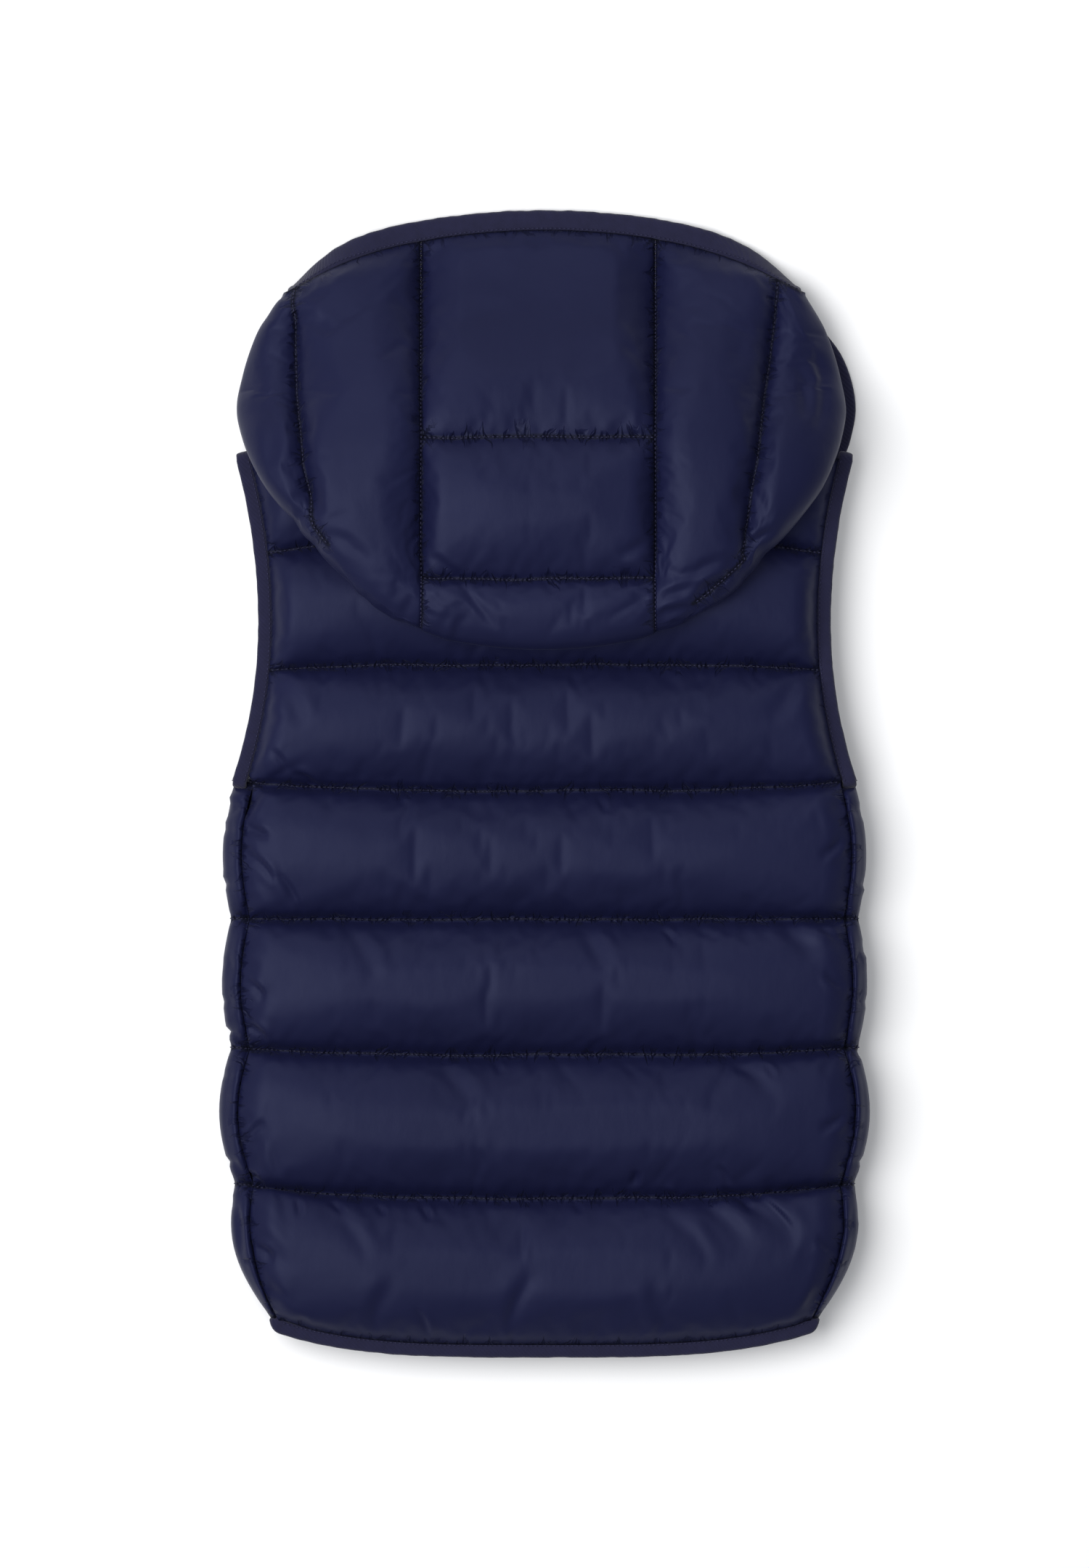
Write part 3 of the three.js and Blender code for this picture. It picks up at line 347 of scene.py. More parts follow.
def puckers(along, away, seed, size=LINE_PUCKERS):
    """Depth of the small folds that run out from a stitched line, uneven in length, depth and place,
    for points so far along the line and away from it."""
    random = np.random.RandomState(seed)
    depth = np.zeros_like(along)
    place, end = along.min() - size.spacing, along.max() + size.spacing
    often, longer = LONG_PUCKERS
    while place < end:
        place += size.spacing * random.uniform(*PUCKER_STEPS)
        lean = random.normal(0, PUCKER_LEAN)
        reach = size.reach * random.uniform(*PUCKER_REACHES)
        reach *= longer if random.rand() < often else 1
        wide = size.spacing * random.uniform(*PUCKER_WIDTHS)
        deep = size.depth * random.uniform(*PUCKER_DEPTHS)
        off = (along - place - lean * away) / (wide * (1 + PUCKER_SPREAD * away / reach))
        fade = np.exp(-((away / reach) ** 1.7)) * away / (away + HELD_DOWN)
        depth += deep * fade * trough(off, 0.35, 1.7)
    return depth


Crease = namedtuple("Crease", "x0 y0 x1 y1 depth wide")
CREASE_BOW = 0.06  # how far a crease bows aside, as a share of its length


def crease_depth(points, creases):
    """Depth of the listed long creases."""
    depth = np.zeros(points.shape[:-1])
    for crease in creases:
        run = np.array([crease.x1 - crease.x0, crease.y1 - crease.y0], float)
        long = np.hypot(*run)
        run /= long
        off = points[..., :2] - np.array([crease.x0, crease.y0])
        along = off @ run / long
        middle = np.sin(np.pi * np.clip(along, 0, 1))
        bow = CREASE_BOW * long * middle
        aside = (off @ np.array([-run[1], run[0]]) - bow) / crease.wide
        taper = np.clip(middle, 0, 1) ** 0.7
        depth += crease.depth * taper * trough(aside, 0.45, 1.6)
    return depth


def lengths_along(path):
    """How far along a path of points each of them lies."""
    return np.concatenate([[0], np.cumsum(np.linalg.norm(np.diff(path, axis=0), axis=1))])


def along_path(path, lengths, at):
    """The points at some distances along a path, or another of its values there."""
    return np.stack([np.interp(at, lengths, path[:, axis]) for axis in range(3)], axis=1)


TUCKS_NEAR = 13.0  # how far from a seam its fine tucks may reach
SEAM_STEP = 0.8  # between the points that stand for a seam
SEAM_APART = 500  # added along each next seam, so that no two have the same slits
QUIET_AWAY = 1.7  # added away from a quiet seam, which leaves it only a faint needle line of painted shade


def fine_tucks(mesh, seams, seed, size=TUCKS, quiet=0, creases=()):
    """Draws in the small sharp tucks beside each seam, a path of points in millimetres, and notes
    each point's place for the finish: along its nearest seam, to which side of it, and how far away.
    The last quiet seams show only a faint needle line of painted shade."""
    places, runs, alongs, owners = [], [], [], []
    for k, seam in enumerate(seams):
        lengths = lengths_along(seam)
        even = np.arange(0, lengths[-1], SEAM_STEP)
        path = along_path(seam, lengths, even)
        places.append(path)
        runs.append(np.gradient(path, axis=0))
        alongs.append(even)
        owners.append(np.full(len(even), k))
    places, runs, alongs, owners = (np.concatenate(rows) for rows in (places, runs, alongs, owners))
    tree = kdtree.KDTree(len(places))
    for k, place in enumerate(places):
        tree.insert(place, k)
    tree.balance()
    points = mesh_points(mesh, (-1, 3))
    found = [tree.find(point)[1:] for point in points]
    nearest = np.array([k for k, _ in found])
    away = np.array([distance for _, distance in found])
    normals = np.empty(len(points) * 3)
    mesh.vertex_normals.foreach_get("vector", normals)
    normals = normals.reshape(-1, 3)
    aside = np.einsum("ij,ij->i", np.cross(normals, runs[nearest]), points - places[nearest]) > 0
    depth = crease_depth(points, creases)
    for k in range(len(seams)):
        for half in (False, True):
            here = (owners[nearest] == k) & (aside == half) & (away < TUCKS_NEAR)
            if here.sum() > 10:
                depth[here] += puckers(alongs[nearest[here]], away[here], seed + 2 * k + half, size)
    points -= normals * depth[:, None]
    points[:, 2] = np.maximum(points[:, 2], 0)
    mesh.vertices.foreach_set("co", (points * METRE).reshape(-1))
    along = alongs[nearest] + SEAM_APART * owners[nearest]
    # the distance that the finish's painted shade in the needle line and its slits fade with
    shown = away + QUIET_AWAY * (owners[nearest] >= len(seams) - quiet)
    place = np.stack([along, np.where(aside, away, -away), shown], axis=1)
    noted = mesh.attributes.new("seam_place", "FLOAT_VECTOR", "POINT")
    noted.data.foreach_set("vector", place.reshape(-1))
    return mesh


def mesh_of(form, name):
    """Turns a bmesh into a mesh, and frees it."""
    mesh = bpy.data.meshes.new(name)
    form.to_mesh(mesh)
    form.free()
    return mesh


def add_to(whole, form):
    """Adds a bmesh to another, and frees it."""
    mesh = mesh_of(form, "added")
    whole.from_mesh(mesh)
    bpy.data.meshes.remove(mesh)


def cloth_mesh(name, points):
    """A grid of points as an open cloth mesh."""
    rows, columns = points.shape[0] - 1, points.shape[1] - 1
    cloth = bmesh.new()
    bmesh.ops.create_grid(cloth, x_segments=columns, y_segments=rows, size=0.5)
    for vert, place in zip(cloth.verts, points.reshape(-1, 3)):
        vert.co = Vector(place) * METRE
    return mesh_of(cloth, name)


def new_piece(name, mesh):
    piece = bpy.data.objects.new(name, mesh)
    bpy.context.scene.collection.objects.link(piece)
    return piece


def applied(piece):
    """A piece with its modifiers applied, as the renderer sees it."""
    return piece.evaluated_get(bpy.context.evaluated_depsgraph_get())


def mesh_points(mesh, shape):
    """The points of a mesh in millimetres, in a grid's shape."""
    flat = np.empty(len(mesh.vertices) * 3)
    mesh.vertices.foreach_get("co", flat)
    return flat.reshape(shape) / METRE


SIM_FRAMES = 14
PRESSURE = 6
Filling = namedtuple("Filling", "growth cap")
BACK_FILLING = Filling(growth=0.008, cap=5)
HOOD_FILLING = Filling(growth=0.012, cap=4)


def blow_up(points, sewn, filling, facing=1):
    """Lets padding press the cloth out between its sewn lines. The cloth is cut growth larger than
    the space between them, as gathered quilting is, and no point moves further than cap. Facing is
    -1 where the grid's own direction is inwards."""
    piece = new_piece("blown_cloth", cloth_mesh("blown_cloth", points))
    held = piece.vertex_groups.new(name="sewn")
    held.add([int(k) for k in np.flatnonzero(sewn.reshape(-1))], 1.0, "REPLACE")
    padding = piece.modifiers.new("padding", "CLOTH")
    settings = padding.settings
    settings.quality = 4
    settings.mass = 0.05
    settings.tension_stiffness = 20
    settings.compression_stiffness = 12
    settings.shear_stiffness = 6
    settings.bending_stiffness = 0.02
    settings.air_damping = 4
    settings.use_pressure = True
    settings.uniform_pressure_force = facing * PRESSURE
    settings.shrink_min = -filling.growth
    settings.vertex_group_mass = held.name
    settings.effector_weights.gravity = 0
    padding.collision_settings.use_collision = False
    padding.point_cache.frame_start = 1
    padding.point_cache.frame_end = SIM_FRAMES
    scene = bpy.context.scene
    for step in range(1, SIM_FRAMES + 1):
        scene.frame_set(step)
    blown = mesh_points(applied(piece).data, points.shape)
    mesh = piece.data
    bpy.data.objects.remove(piece)
    bpy.data.meshes.remove(mesh)
    scene.frame_set(1)
    moved = blown - points
    far = np.linalg.norm(moved, axis=2, keepdims=True)
    return points + moved * np.minimum(1, filling.cap / np.maximum(far, 1e-9))


LINE_SHARPNESS = 0.8  # of the edges along a stitched line, 1 for one that isn't rounded at all


def refined(mesh, lines=None):
    """The same mesh with its faces divided once and rounded, but for its stitched lines."""
    if lines is not None:
        lines = lines.reshape(-1)
        sharp = mesh.attributes.new("crease_edge", "FLOAT", "EDGE")
        for edge in mesh.edges:
            sharp.data[edge.index].value = LINE_SHARPNESS * all(lines[list(edge.vertices)])
    piece = new_piece("refined", mesh)
    rounding = piece.modifiers.new("rounding", "SUBSURF")
    rounding.levels = rounding.render_levels = 1
    rounding.boundary_smooth = "PRESERVE_CORNERS"
    finer = bpy.data.meshes.new_from_object(applied(piece))
    bpy.data.objects.remove(piece)
    bpy.data.meshes.remove(mesh)
    return finer


def padded_piece(name, outer, inner):
    """A closed padded wall of nylon from its outer and inner cloths, sewn together round their edges."""
    wall = bmesh.new()
    wall.from_mesh(outer)
    edges = [edge for edge in wall.edges if edge.is_boundary]
    count = len(wall.edges)
    wall.from_mesh(inner)
    wall.edges.ensure_lookup_table()
    edges += [edge for edge in wall.edges[count:] if edge.is_boundary]
    bmesh.ops.bridge_loops(wall, edges=edges)
    bmesh.ops.recalc_face_normals(wall, faces=wall.faces)
    piece = new_piece(name, mesh_of(wall, name))
    bpy.data.meshes.remove(outer)
    bpy.data.meshes.remove(inner)
    dress(piece, NYLON)
    return piece


def dress(piece, material, body="vest"):
    """Gives a piece its finish and its body, and shades it smoothly."""
    piece.data.materials.clear()
    piece.data.materials.append(material)
    for face in piece.data.polygons:
        face.use_smooth = True
    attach(piece, body)


# Finishes


class Finish:
    """A node material, built up a node at a time."""

    def __init__(self, name):
        self.material = bpy.data.materials.new(name)
        self.material.use_nodes = True
        self.tree = self.material.node_tree
        self.shader = self.tree.nodes["Principled BSDF"]
        self.place = self.node("ShaderNodeTexCoord").outputs["Object"]
        self.height = None

    def node(self, kind, links=None, **settings):
        """A new node. Links gives each of its sockets a value or another node's output."""
        made = self.tree.nodes.new(kind)
        for key, value in settings.items():
            setattr(made, key, value)
        for socket, value in (links or {}).items():
            if isinstance(value, bpy.types.NodeSocket):
                self.tree.links.new(value, made.inputs[socket])
            else:
                made.inputs[socket].default_value = value
        return made

    def link(self, output, socket):
        self.tree.links.new(output, self.shader.inputs[socket])

    def all_over(self, values):
        """Sets what is the same all over the surface, on the shader's own sockets."""
        for socket, value in values.items():
            self.shader.inputs[socket].default_value = value

    def cloud(self, scale, detail=3.0, stretch=(1, 1, 1)):
        """Soft noise over the piece, scale features to a metre."""
        place = self.node("ShaderNodeMapping", {"Vector": self.place, "Scale": stretch}).outputs[0]
        return self.noise(place, scale, detail)

    def noise(self, place, scale, detail=2.0):
        """Soft noise over a place on the piece, or along one length."""
        along = place.type != "VECTOR"
        links = {"W" if along else "Vector": place, "Scale": scale, "Detail": detail}
        made = self.node("ShaderNodeTexNoise", links, noise_dimensions="1D" if along else "3D")
        return made.outputs["Fac"]

    def threads(self, pitch, direction):
        """Parallel threads pitch metres apart."""
        links = {"Vector": self.place, "Scale": math.pi / (10 * pitch), "Distortion": 0.4, "Detail": 1.0}
        return self.node("ShaderNodeTexWave", links, bands_direction=direction).outputs["Fac"]

    def blend(self, low, high, share):
        """A colour between low and high, each a colour or another node's output."""
        low, high = ((*colour, 1) if isinstance(colour, tuple) else colour for colour in (low, high))
        return self.node("ShaderNodeMix", {"Factor": share, 6: low, 7: high}, data_type="RGBA").outputs[2]

    def ramp(self, value, start, end, low=0.0, high=1.0):
        """Goes straight from low at start to high at end."""
        links = {0: value, 1: start, 2: end, 3: low, 4: high}
        return self.node("ShaderNodeMapRange", links).outputs[0]

    def maths(self, operation, *values):
        return self.node("ShaderNodeMath", dict(enumerate(values)), operation=operation).outputs[0]

    def drawn_slits(self):
        """Short slits where stitches draw the cloth in, 0 to 1, uneven in length, lean and place,
        and the distance away from the seam. The finish gives the slits relief and paints shade into them.
        Lengths on the cloth are millimetres."""
        place = self.node("ShaderNodeAttribute", attribute_name="seam_place").outputs["Vector"]
        along, aside, away = self.node("ShaderNodeSeparateXYZ", {0: place}).outputs
        lean = self.maths("MULTIPLY", self.maths("SUBTRACT", self.noise(along, 0.09), 0.5), 3.2)
        leant = self.maths("MULTIPLY_ADD", lean, aside, along)
        on_cloth = self.node("ShaderNodeCombineXYZ", {0: leant, 1: aside}).outputs[0]
        stretch = {"Vector": on_cloth, "Scale": (0.17, 0.03, 1)}
        folds = self.noise(self.node("ShaderNodeMapping", stretch).outputs[0], 1.0, 2.5)
        slit = self.ramp(self.maths("ABSOLUTE", self.maths("SUBTRACT", folds, 0.5)), 0.0, 0.085, 1.0, 0.0)
        reach = self.ramp(self.noise(leant, 0.13), 0.36, 0.72, 0.4, 10)
        fade = self.ramp(self.maths("SUBTRACT", 1.0, self.maths("DIVIDE", away, reach)), 0.0, 0.6)
        return self.maths("MULTIPLY", slit, fade), away

    def bump(self, height, distance, strength=1.0):
        """Adds relief, distance metres high, on top of the relief before it."""
        links = {"Height": height, "Distance": distance, "Strength": strength}
        if self.height is not None:
            links["Normal"] = self.height
        self.height = self.node("ShaderNodeBump", links).outputs["Normal"]
        self.link(self.height, "Normal")


def linear(*colour):
    """Red, green and blue as the screen shows them, 0 to 255, as the renderer's linear values."""
    return tuple(c / 255 / 12.92 if c < 11 else ((c / 255 + 0.055) / 1.055) ** 2.4 for c in colour)


def quilted_nylon():
    """Dense downproof nylon: a fine plain weave with a satin sheen, with painted shade in the needle line
    of a seam and in the small slits beside it."""
    finish = Finish("quilted_nylon")
    shade = finish.blend(linear(14, 16, 43), linear(21, 23, 52), finish.cloud(12, 4))
    slits, away = finish.drawn_slits()
    # Painted shade: the base colour darkens to a near-black navy in a seam's needle line and in the slits
    # beside it, standing in for the shade in those grooves.
    needle_line_shade = finish.ramp(away, 0.8, 2.3, 0.9, 0.0)
    painted_shade = finish.maths("MAXIMUM", needle_line_shade, finish.maths("MULTIPLY", slits, 0.42))
    finish.link(finish.blend(shade, linear(5, 5, 14), painted_shade), "Base Color")
    finish.link(finish.ramp(finish.cloud(60, 3), 0.0, 1.0, 0.4, 0.53), "Roughness")
    finish.all_over({"Specular IOR Level": 0.17, "Specular Tint": (0.6, 0.66, 1, 1)})
    finish.all_over({"Sheen Weight": 0.03, "Sheen Roughness": 0.4, "Sheen Tint": (0.5, 0.55, 1, 1)})
    finish.bump(finish.cloud(95, 5, (1, 0.6, 1)), 0.0009, 0.3)
    finish.bump(finish.maths("SUBTRACT", 1.0, slits), 0.0012, 0.9)
    weave = finish.maths("MULTIPLY", finish.threads(0.00042, "X"), finish.threads(0.00042, "Y"))
    finish.bump(weave, 0.00004, 0.6)
    return finish.material


def elastic_binding():
    """Matte knitted elastic, ribbed across its length."""
    finish = Finish("elastic_binding")
    shade = finish.cloud(220, 3)
    finish.link(finish.blend(linear(18, 18, 43), linear(26, 26, 55), shade), "Base Color")
    finish.all_over({"Roughness": 0.88, "Specular IOR Level": 0.15})
    finish.all_over({"Sheen Weight": 0.12, "Sheen Roughness": 0.6})
    finish.bump(finish.threads(0.0012, "DIAGONAL"), 0.00022, 0.7)
    finish.bump(finish.cloud(1300, 3), 0.00016, 0.8)
    return finish.material


def zip_tape_weave():
    """Woven tape with a fine twill."""
    finish = Finish("zip_tape")
    finish.link(finish.blend(linear(22, 24, 50), linear(30, 33, 63), finish.cloud(400, 2)), "Base Color")
    finish.all_over({"Roughness": 0.85})
    finish.bump(finish.threads(0.0009, "Y"), 0.00015, 0.8)
    return finish.material


def moulded_plastic():
    """Dyed moulded plastic of the zip, slightly worn to a shine."""
    finish = Finish("zip_plastic")
    finish.link(finish.blend(linear(20, 22, 48), linear(29, 32, 60), finish.cloud(150, 3)), "Base Color")
    finish.link(finish.ramp(finish.cloud(600, 3), 0.0, 1.0, 0.3, 0.46), "Roughness")
    finish.bump(finish.cloud(900, 2), 0.00005, 0.4)
    return finish.material


def sewing_thread():
    """Twisted polyester thread, lighter than the cloth's drawn-in line that it lies in."""
    finish = Finish("sewing_thread")
    finish.link(finish.blend(linear(28, 28, 50), linear(46, 46, 74), finish.cloud(500, 2)), "Base Color")
    finish.all_over({"Roughness": 0.5, "Specular IOR Level": 0.15})
    finish.bump(finish.threads(0.0004, "DIAGONAL"), 0.00005, 0.6)
    return finish.material


NYLON = quilted_nylon()
ELASTIC = elastic_binding()
TAPE = zip_tape_weave()
MOULDED = moulded_plastic()
THREAD = sewing_thread()

# Stitches: short beads of thread along a line on a finished cloth

STITCH_PITCH = 2.5
STITCH_HALF = (0.42, 0.95, 0.34)  # across the seam, along it, and up from the cloth
STITCH_REACH = 0.6  # how far to each side of a stitch the seam's direction is taken
stitch_rows = []


def stitch_along(path, normals, lift=0.25, skip=0):
    """Notes a row of stitches along path, in millimetres, that sits on the cloth's normals."""
    path, normals = np.asarray(path), np.asarray(normals)
    lengths = lengths_along(path)
    places = np.arange(skip + STITCH_PITCH / 2, lengths[-1] - skip, STITCH_PITCH)
    at = along_path(path, lengths, places)
    ahead = along_path(path, lengths, places + STITCH_REACH)
    behind = along_path(path, lengths, places - STITCH_REACH)
    up = along_path(normals, lengths, places)
    stitch_rows.append((at + lift * up, ahead - behind, up))


def sew(name):
    """Makes one piece of thread from the rows of stitches noted since the last."""
    thread = bmesh.new()
    for at, run, up in stitch_rows:
        row = bmesh.new()
        for place, along, square in zip(at, run, up):
            y = Vector(along).normalized()
            x = y.cross(Vector(square)).normalized()
            turn = Matrix((x, y, x.cross(y))).transposed().to_4x4()
            size = Matrix.Diagonal((*(half * METRE for half in STITCH_HALF), 1))
            spot = Matrix.Translation(Vector(place) * METRE)
            bmesh.ops.create_icosphere(row, subdivisions=1, radius=1, matrix=spot @ turn @ size)
        add_to(thread, row)
    stitch_rows.clear()
    dress(new_piece(name, mesh_of(thread, name)), THREAD)


# Camera, floor and light

PHOTO_SIZE = (1500, 2159)
PIXEL = 0.40  # millimetres
CAMERA_HEIGHT = 2.4  # metres
FLOOR_HALF = 4  # metres
FLOOR_BELOW = 0.0003  # metres under the part

camera = bpy.data.objects.new("camera", bpy.data.cameras.new("camera"))
bpy.context.scene.collection.objects.link(camera)
camera.data.type = "ORTHO"
camera.data.ortho_scale = PHOTO_SIZE[1] * PIXEL * METRE
camera.data.clip_end = 10
camera.location = (0, 0, CAMERA_HEIGHT)
bpy.context.scene.camera = camera

floor_form = bmesh.new()
bmesh.ops.create_grid(floor_form, x_segments=1, y_segments=1, size=FLOOR_HALF)
floor = new_piece("floor", mesh_of(floor_form, "floor"))
floor.location.z = -FLOOR_BELOW
paper = Finish("white_paper")
paper.link(paper.blend((0.86, 0.86, 0.87), (0.9, 0.9, 0.9), paper.cloud(3, 2)), "Base Color")
paper.all_over({"Roughness": 0.9, "Specular IOR Level": 0.1})
floor.data.materials.append(paper.material)

world = bpy.data.worlds.new("studio")
world.use_nodes = True
sky = world.node_tree.nodes["Background"].inputs
sky["Color"].default_value = (0.95, 0.97, 1, 1)
sky["Strength"].default_value = 0.47
bpy.context.scene.world = world
bpy.context.scene.view_settings.view_transform = "Standard"


def soft_box(name, place, size, power, shadow=True):
    """A studio light, size metres wide and long, that faces the middle of the vest."""
    data = bpy.data.lights.new(name, "AREA")
    data.shape = "RECTANGLE"
    data.size, data.size_y = size
    data.energy = power
    data.use_shadow = shadow
    lamp = bpy.data.objects.new(name, data)
    bpy.context.scene.collection.objects.link(lamp)
    lamp.location = place
    lamp.rotation_euler = (-Vector(place)).to_track_quat("-Z", "Y").to_euler()


soft_box("overhead_light", (-0.95, 0.0, 2.0), (1.7, 1.7), 48)
soft_box("top_light", (-0.3, 1.5, 1.2), (1.6, 0.8), 10, shadow=False)

# Back panel

BACK_COLUMNS = 120
START_FULL = 0.93  # the padding starts a little flatter than the CAD's form, and blows up to it


def back_x(i, place):
    return mix(-back_edge(place, "left"), back_edge(place, "right"), i / BACK_COLUMNS)


def back_outside(i, j):
    place = BODY_ROWS[j]
    roll, t = place
    left, right = back_x(0, place), back_x(BACK_COLUMNS, place)
    x = back_x(i, place)
    from_edge = min(x - left, right - x)
    uneven = 1 + 0.05 * unevenness(x, 90 * roll, 55, 4)
    above = past_underarm(place, "back")
    full = QUILT_LINES[roll].loft * pillow(t)
    lift = SIDE_LIFT * full * (1 - above)
    puff = full * mix(swell(from_edge, SIDE_RISE), rise(from_edge, EDGE_RISE), above)
    z = BACK_INSIDE + STITCHED + lift + (BACK_LOFT * START_FULL * uneven - lift) * puff
    return (x, row_y(place, x, "centre", BACK_NECK_Y), z)


def back_inside(i, j):
    place = BODY_ROWS[j]
    x = back_x(i, place)
    return (x, row_y(place, x, "centre", BACK_NECK_Y), BACK_INSIDE)


LAST_ROW = len(BODY_ROWS) - 1
LINE_ROWS = [ROLL_ROWS * k for k in range(ROLLS)]  # the hem, and the quilting lines above it
FAR = 1e3  # too far from a line for its puckers to reach


def body_puckers(points, seed):
    """Puckers below and above each quilting line of a body panel."""
    depth = np.zeros(points.shape[:2])
    for line in range(ROLLS + 1):
        row = line * ROLL_ROWS
        below, above = slice(max(0, row - ROLL_ROWS), row + 1), slice(row, row + ROLL_ROWS + 1)
        for k, rows in enumerate((below, above)):
            if line != (0, ROLLS)[k]:
                away = np.full(depth.shape, FAR)
                away[rows] = np.abs(points[rows, :, 1] - points[row, :, 1])
                depth += puckers(points[..., 0], away, seed + 2 * line + k)
    return depth


BACK_CREASES = [
    Crease(84, -228, 112, -252, 2.2, 4.5),
    Crease(104, -226, 140, -250, 2.6, 5),
    Crease(66, -236, 92, -262, 1.5, 4),
    Crease(100, -150, 124, -166, 2.2, 4),
    Crease(-158, -3, -173, -18, 2.4, 4),
    Crease(-120, -232, -96, -262, 1.6, 5),
    Crease(-164, -46, -146, -70, 1.6, 4),
    Crease(-164, -130, -150, -112, 1.5, 4),
    Crease(-163, -206, -150, -190, 1.5, 4),
    Crease(-160, -246, -142, -268, 1.6, 4.5),
    Crease(-60, -152, -38, -176, 1.3, 5),
    Crease(20, -78, 34, -104, 1.4, 5),
    Crease(-110, -78, -92, -108, 1.5, 5),
    Crease(128, -76, 150, -96, 1.8, 5),
    Crease(-150, 60, -132, 30, 1.5, 5),
    Crease(140, 60, 122, 34, 1.5, 5),
    Crease(-20, -300, -4, -268, 1.5, 5),
    Crease(70, -300, 58, -272, 1.3, 5),
    Crease(-96, -298, -80, -272, 1.4, 5),
]

BACK_LINES = [  # thin sharp creases
    Crease(99, -223, 115, -235, 1.5, 1.6),
    Crease(112, -224, 137, -246, 1.5, 1.7),
    Crease(64, -224, 78, -231, 1.1, 1.6),
    Crease(95, -210, 102, -220, 1.3, 1.7),
    Crease(51, -213, 48, -222, 1.6, 2.2),
    Crease(120, -154, 127, -162, 1.1, 1.6),
    Crease(64, -79, 73, -89, 1.1, 1.6),
    Crease(151, -79, 162, -86, 1.2, 1.6),
    Crease(-148, -48, -133, -73, 1.1, 1.7),
    Crease(-165, -24, -152, -30, 2.3, 2.2),
    Crease(-164, -38, -149, -54, 2.2, 2.2),
    Crease(-165, -108, -154, -118, 2.1, 2.0),
    Crease(-165, -132, -153, -142, 2.2, 2.2),
    Crease(-165, -196, -154, -186, 2.1, 2.0),
    Crease(-165, -214, -155, -222, 2.1, 2.0),
    Crease(-161, -254, -149, -262, 2.1, 2.2),
    Crease(165, -30, 152, -40, 2.2, 2.2),
    Crease(166, -112, 154, -104, 2.1, 2.0),
    Crease(166, -182, 152, -190, 2.2, 2.2),
    Crease(163, -258, 150, -250, 2.1, 2.2),
    Crease(-152, 20, -141, 6, 1.3, 2),
    Crease(-139, 6, -125, -2, 1.6, 2.2),
    Crease(-119, -229, -110, -238, 1.3, 1.8),
    Crease(-93, -231, -88, -238, 1.1, 1.7),
    Crease(-69, -231, -63, -241, 1.3, 1.8),
    Crease(-137, -228, -135, -238, 1.2, 1.8),
    Crease(-71, -289, -64, -305, 1.3, 2),
    Crease(-30, -150, -24, -160, 1, 1.7),
    Crease(12, -226, 20, -236, 1, 1.7),
    Crease(28, -6, 34, -16, 1.1, 1.7),
    Crease(-84, -2, -78, -12, 1.1, 1.7),
]


LEAST_THICK = 0.7  # share of the stitched thickness that no pucker goes below
STITCH_LEAN = 0.3  # how far the back's stitches lean with the cloth beside them


def back_panel():
    points = grid_of(BACK_COLUMNS, LAST_ROW, back_outside)
    normals = normals_of(points)
    depth = body_puckers(points, 11)
    for edge in (0, -1):
        away = np.abs(points[..., 0] - points[:, edge, 0][:, None])
        depth += puckers(points[..., 1], away, 71 + edge, BACK_SIDE_PUCKERS)
    depth += crease_depth(points, BACK_CREASES)
    points = points - normals * depth[..., None]
    sewn = np.zeros(points.shape[:2], bool)
    sewn[:, [0, -1]] = True
    sewn[LINE_ROWS + [LAST_ROW]] = True
    points = blow_up(points, sewn, BACK_FILLING)
    points[..., 2] = np.maximum(points[..., 2], BACK_INSIDE + STITCHED * LEAST_THICK)
    normals = normals_of(points)
    for row in LINE_ROWS[1:]:
        up = normals[row] * STITCH_LEAN + np.array([0, 0, 1.0])
        stitch_along(points[row], up / np.linalg.norm(up, axis=1, keepdims=True), skip=1)
    seams = [points[row] for row in LINE_ROWS] + [points[LAST_ROW], points[:, 0], points[:, -1]]
    outer = refined(cloth_mesh("back_outer", points), sewn)
    fine_tucks(outer, seams, 1100, quiet=2, creases=BACK_LINES)
    inner = cloth_mesh("back_inner", grid_of(BACK_COLUMNS, LAST_ROW, back_inside))
    piece = padded_piece("back", outer, inner)
    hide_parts("back_panel")
    sew("back_quilting_stitches")


# Front panels: flat on the table, wrapped up round the sides to the side seams on the back

SIDE_CREASES = [  # on the sides, seen from above
    Crease(-178, -18, -160, -8, 1.8, 2.4),
    Crease(-177, -24, -166, -33, 1.8, 2.2),
    Crease(-176, -8, -163, -24, 1.8, 2.0),
    Crease(-178, -56, -167, -52, 1.6, 1.9),
    Crease(-179, -118, -168, -124, 1.6, 1.9),
    Crease(-180, -140, -167, -133, 1.7, 2.0),
    Crease(-177, -160, -166, -166, 1.6, 1.9),
    Crease(-179, -206, -166, -212, 1.7, 2.0),
    Crease(-167, -37, -158, -47, 1.8, 2.4),
    Crease(-176, -98, -166, -110, 1.6, 2.2),
    Crease(-176, -176, -165, -190, 1.6, 2.2),
    Crease(-172, -228, -167, -260, 1.4, 1.9),
    Crease(-167, -240, -157, -282, 1.5, 1.9),
    Crease(-161, -262, -151, -290, 1.3, 1.8),
    Crease(166, -155, 176, -146, 2, 2.2),
    Crease(167, -160, 170, -173, 2, 2.2),
    Crease(170, -171, 166, -191, 2, 2.4),
    Crease(179, -52, 167, -58, 1.6, 1.9),
    Crease(179, -122, 167, -114, 1.6, 1.9),
    Crease(178, -210, 167, -204, 1.6, 1.9),
    Crease(166, -192, 176, -195, 1.8, 2.2),
    Crease(178, -17, 162, -8, 1.8, 2.4),
    Crease(177, -88, 168, -101, 1.6, 2.2),
    Crease(171, -238, 160, -250, 1.6, 2.2),
]

